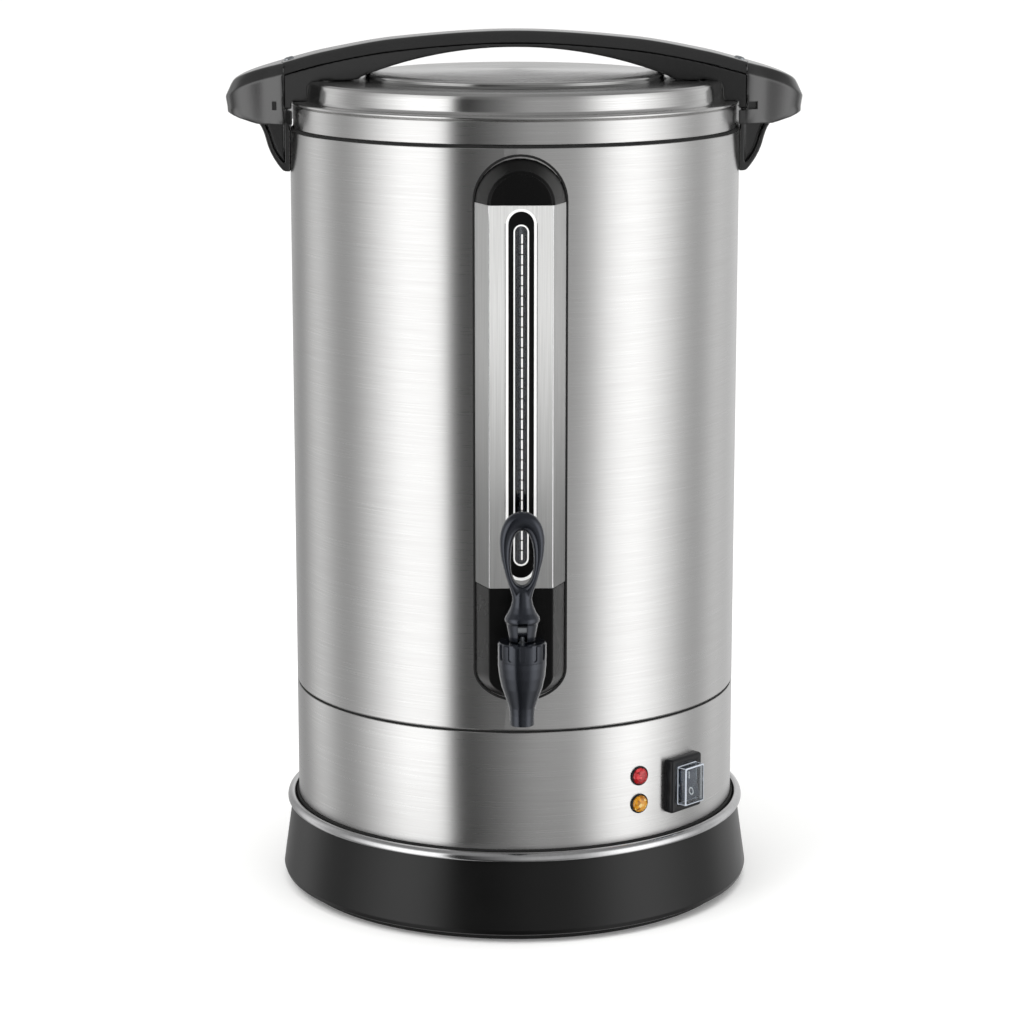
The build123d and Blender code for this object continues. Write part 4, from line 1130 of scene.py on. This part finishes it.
# bezel, cover and rims are rows of rounded rectangles: half width, half height, height off the body, corner
switch = {
    "angle": 46.0, "z": 78.6, "pivot": 131.0, "tilt": 10.0,
    "bezel": ((12.8, 15.5, -1.3, 1.4), (12.8, 15.5, 3.3, 1.4), (12.5, 15.2, 4.3, 1.3),
        (11.9, 14.6, 4.8, 1.1), (9.1, 11.8, 4.8, 0.9), (8.7, 11.4, 4.4, 0.8), (8.0, 10.8, 4.4, 0.7),
        (6.9, 9.7, 4.2, 0.5), (6.8, 9.6, -3.2, 0.4), (12.0, 14.7, -3.2, 1.2)),
    "cover": ((7.5, 10.3, 10.4, 0.7), (7.85, 10.65, 9.9, 0.9), (7.9, 10.7, 5.0, 0.9),
        (7.9, 10.7, 4.45, 0.9), (7.1, 9.9, 4.45, 0.5), (7.1, 9.9, 9.4, 0.5), (6.9, 9.7, 9.7, 0.4)),
    "rims": (((7.95, 10.75, 9.75, 0.9), (7.95, 10.75, 10.2, 0.9), (7.65, 10.45, 10.5, 0.8),
        (7.3, 10.1, 10.5, 0.7), (7.5, 10.3, 10.1, 0.8)), ((8.3, 11.1, 4.42, 1.0), (8.3, 11.1, 4.8, 1.0),
        (7.95, 10.75, 4.95, 0.9), (7.7, 10.5, 4.8, 0.8), (7.7, 10.5, 4.42, 0.8))),
    "corners": {"x": 7.72, "y": 10.52, "half": 0.17, "low": 4.8, "high": 10.2},
}

# the pad's outline is (up, out) from its pivot, and its ends are (place along the pivot, size there)
rocker = {
    "outline": ((-9.0, 0.6), (-8.5, 3.15), (0.0, 2.15), (8.5, 3.15), (9.0, 0.6), (4.5, -4.6), (-4.5, -4.6)),
    "middle": (0, -0.5), "ends": ((-6.3, 0.94), (-6.0, 1.0), (6.0, 1.0), (6.3, 0.94)),
    "markUp": 4.6, "markOut": 2.72, "slope": (1.0, 8.5), "bar": ((-0.4, -2.1, -0.1), (0.4, 2.1, 0.08)),
    "ring": ((1.25, -0.1), (1.95, -0.1), (1.95, 0.08), (1.25, 0.08)), "ringTall": 1.15, "round": 32,
}


def roundedRow(bm, place, row, steps=5):
    # one rounded rectangle as a ring of vertices
    w, h, z, r = row
    points = []
    for k, (sx, sy) in enumerate(((1, 1), (-1, 1), (-1, -1), (1, -1))):
        for i in range(steps + 1):
            a = math.pi / 2 * (k + i / steps)
            points.append((sx * (w - r) + r * math.cos(a), sy * (h - r) + r * math.sin(a), z))
    return addRow(bm, points, place)


def makeSwitch():
    place = faceFrame(switch["angle"], bodyRadius, switch["z"])
    bm = bmesh.new()
    bridge(bm, [roundedRow(bm, place, row) for row in switch["bezel"]])
    addShape(bm, "switchBezel", "NylonSwitch", 50, "urn", "switch_plastic", "switch_housing")
    bm = bmesh.new()
    bridge(bm, [roundedRow(bm, place, row) for row in switch["cover"]], "capped")
    addShape(bm, "clearCover", "ClearSilicone", 40, "urn", "clear_cover", "splash_cover")
    bm = bmesh.new()
    for rows in switch["rims"]:   # pale rims along the cover's edges: painted highlights where the edges catch the light
        bridge(bm, [roundedRow(bm, place, row) for row in rows])
    k = switch["corners"]
    for x in (-k["x"], k["x"]):
        for y in (-k["y"], k["y"]):
            addBox(bm, (x - k["half"], y - k["half"], k["low"]), (x + k["half"], y + k["half"], k["high"]),
                place)
    addShape(bm, "coverEdges", "EdgeHighlightSilicone", 38, "urn", "clear_cover")


def makeRocker():
    turn = faceFrame(switch["angle"], switch["pivot"], switch["z"])
    turn = turn @ Matrix.Rotation(math.radians(-switch["tilt"]), 4, "X")
    bm = bmesh.new()
    outline = roundCorners(rocker["outline"], 0.5)
    up, out = rocker["middle"]
    ends = [[(x, up + (q.x - up) * k, out + (q.y - out) * k) for q in outline] for x, k in rocker["ends"]]
    bridge(bm, [addRow(bm, end, turn) for end in ends], "capped")
    addShape(bm, "rockerPad", "AbsRocker", 45, "rocker", "switch_plastic", "switch_rocker")

    bm = bmesh.new()   # plain on and off marks
    slope = math.atan2(*rocker["slope"])
    upper, lower = [turn @ Matrix.Translation(Vector((0, side * rocker["markUp"], rocker["markOut"])) * mm)
        @ Matrix.Rotation(side * slope, 4, "X") for side in (1, -1)]
    addBox(bm, *rocker["bar"], upper)
    tall = rocker["ringTall"]
    bridge(bm, [addRow(bm, [(r * math.cos(a), r * tall * math.sin(a), h) for r, h in rocker["ring"]], lower)
        for a in spun(rocker["round"])])
    addShape(bm, "rockerMarks", "AbsWhiteFrame", 38, "rocker", "white_print")


makeSwitch()
makeRocker()
print("lamps and switch made")
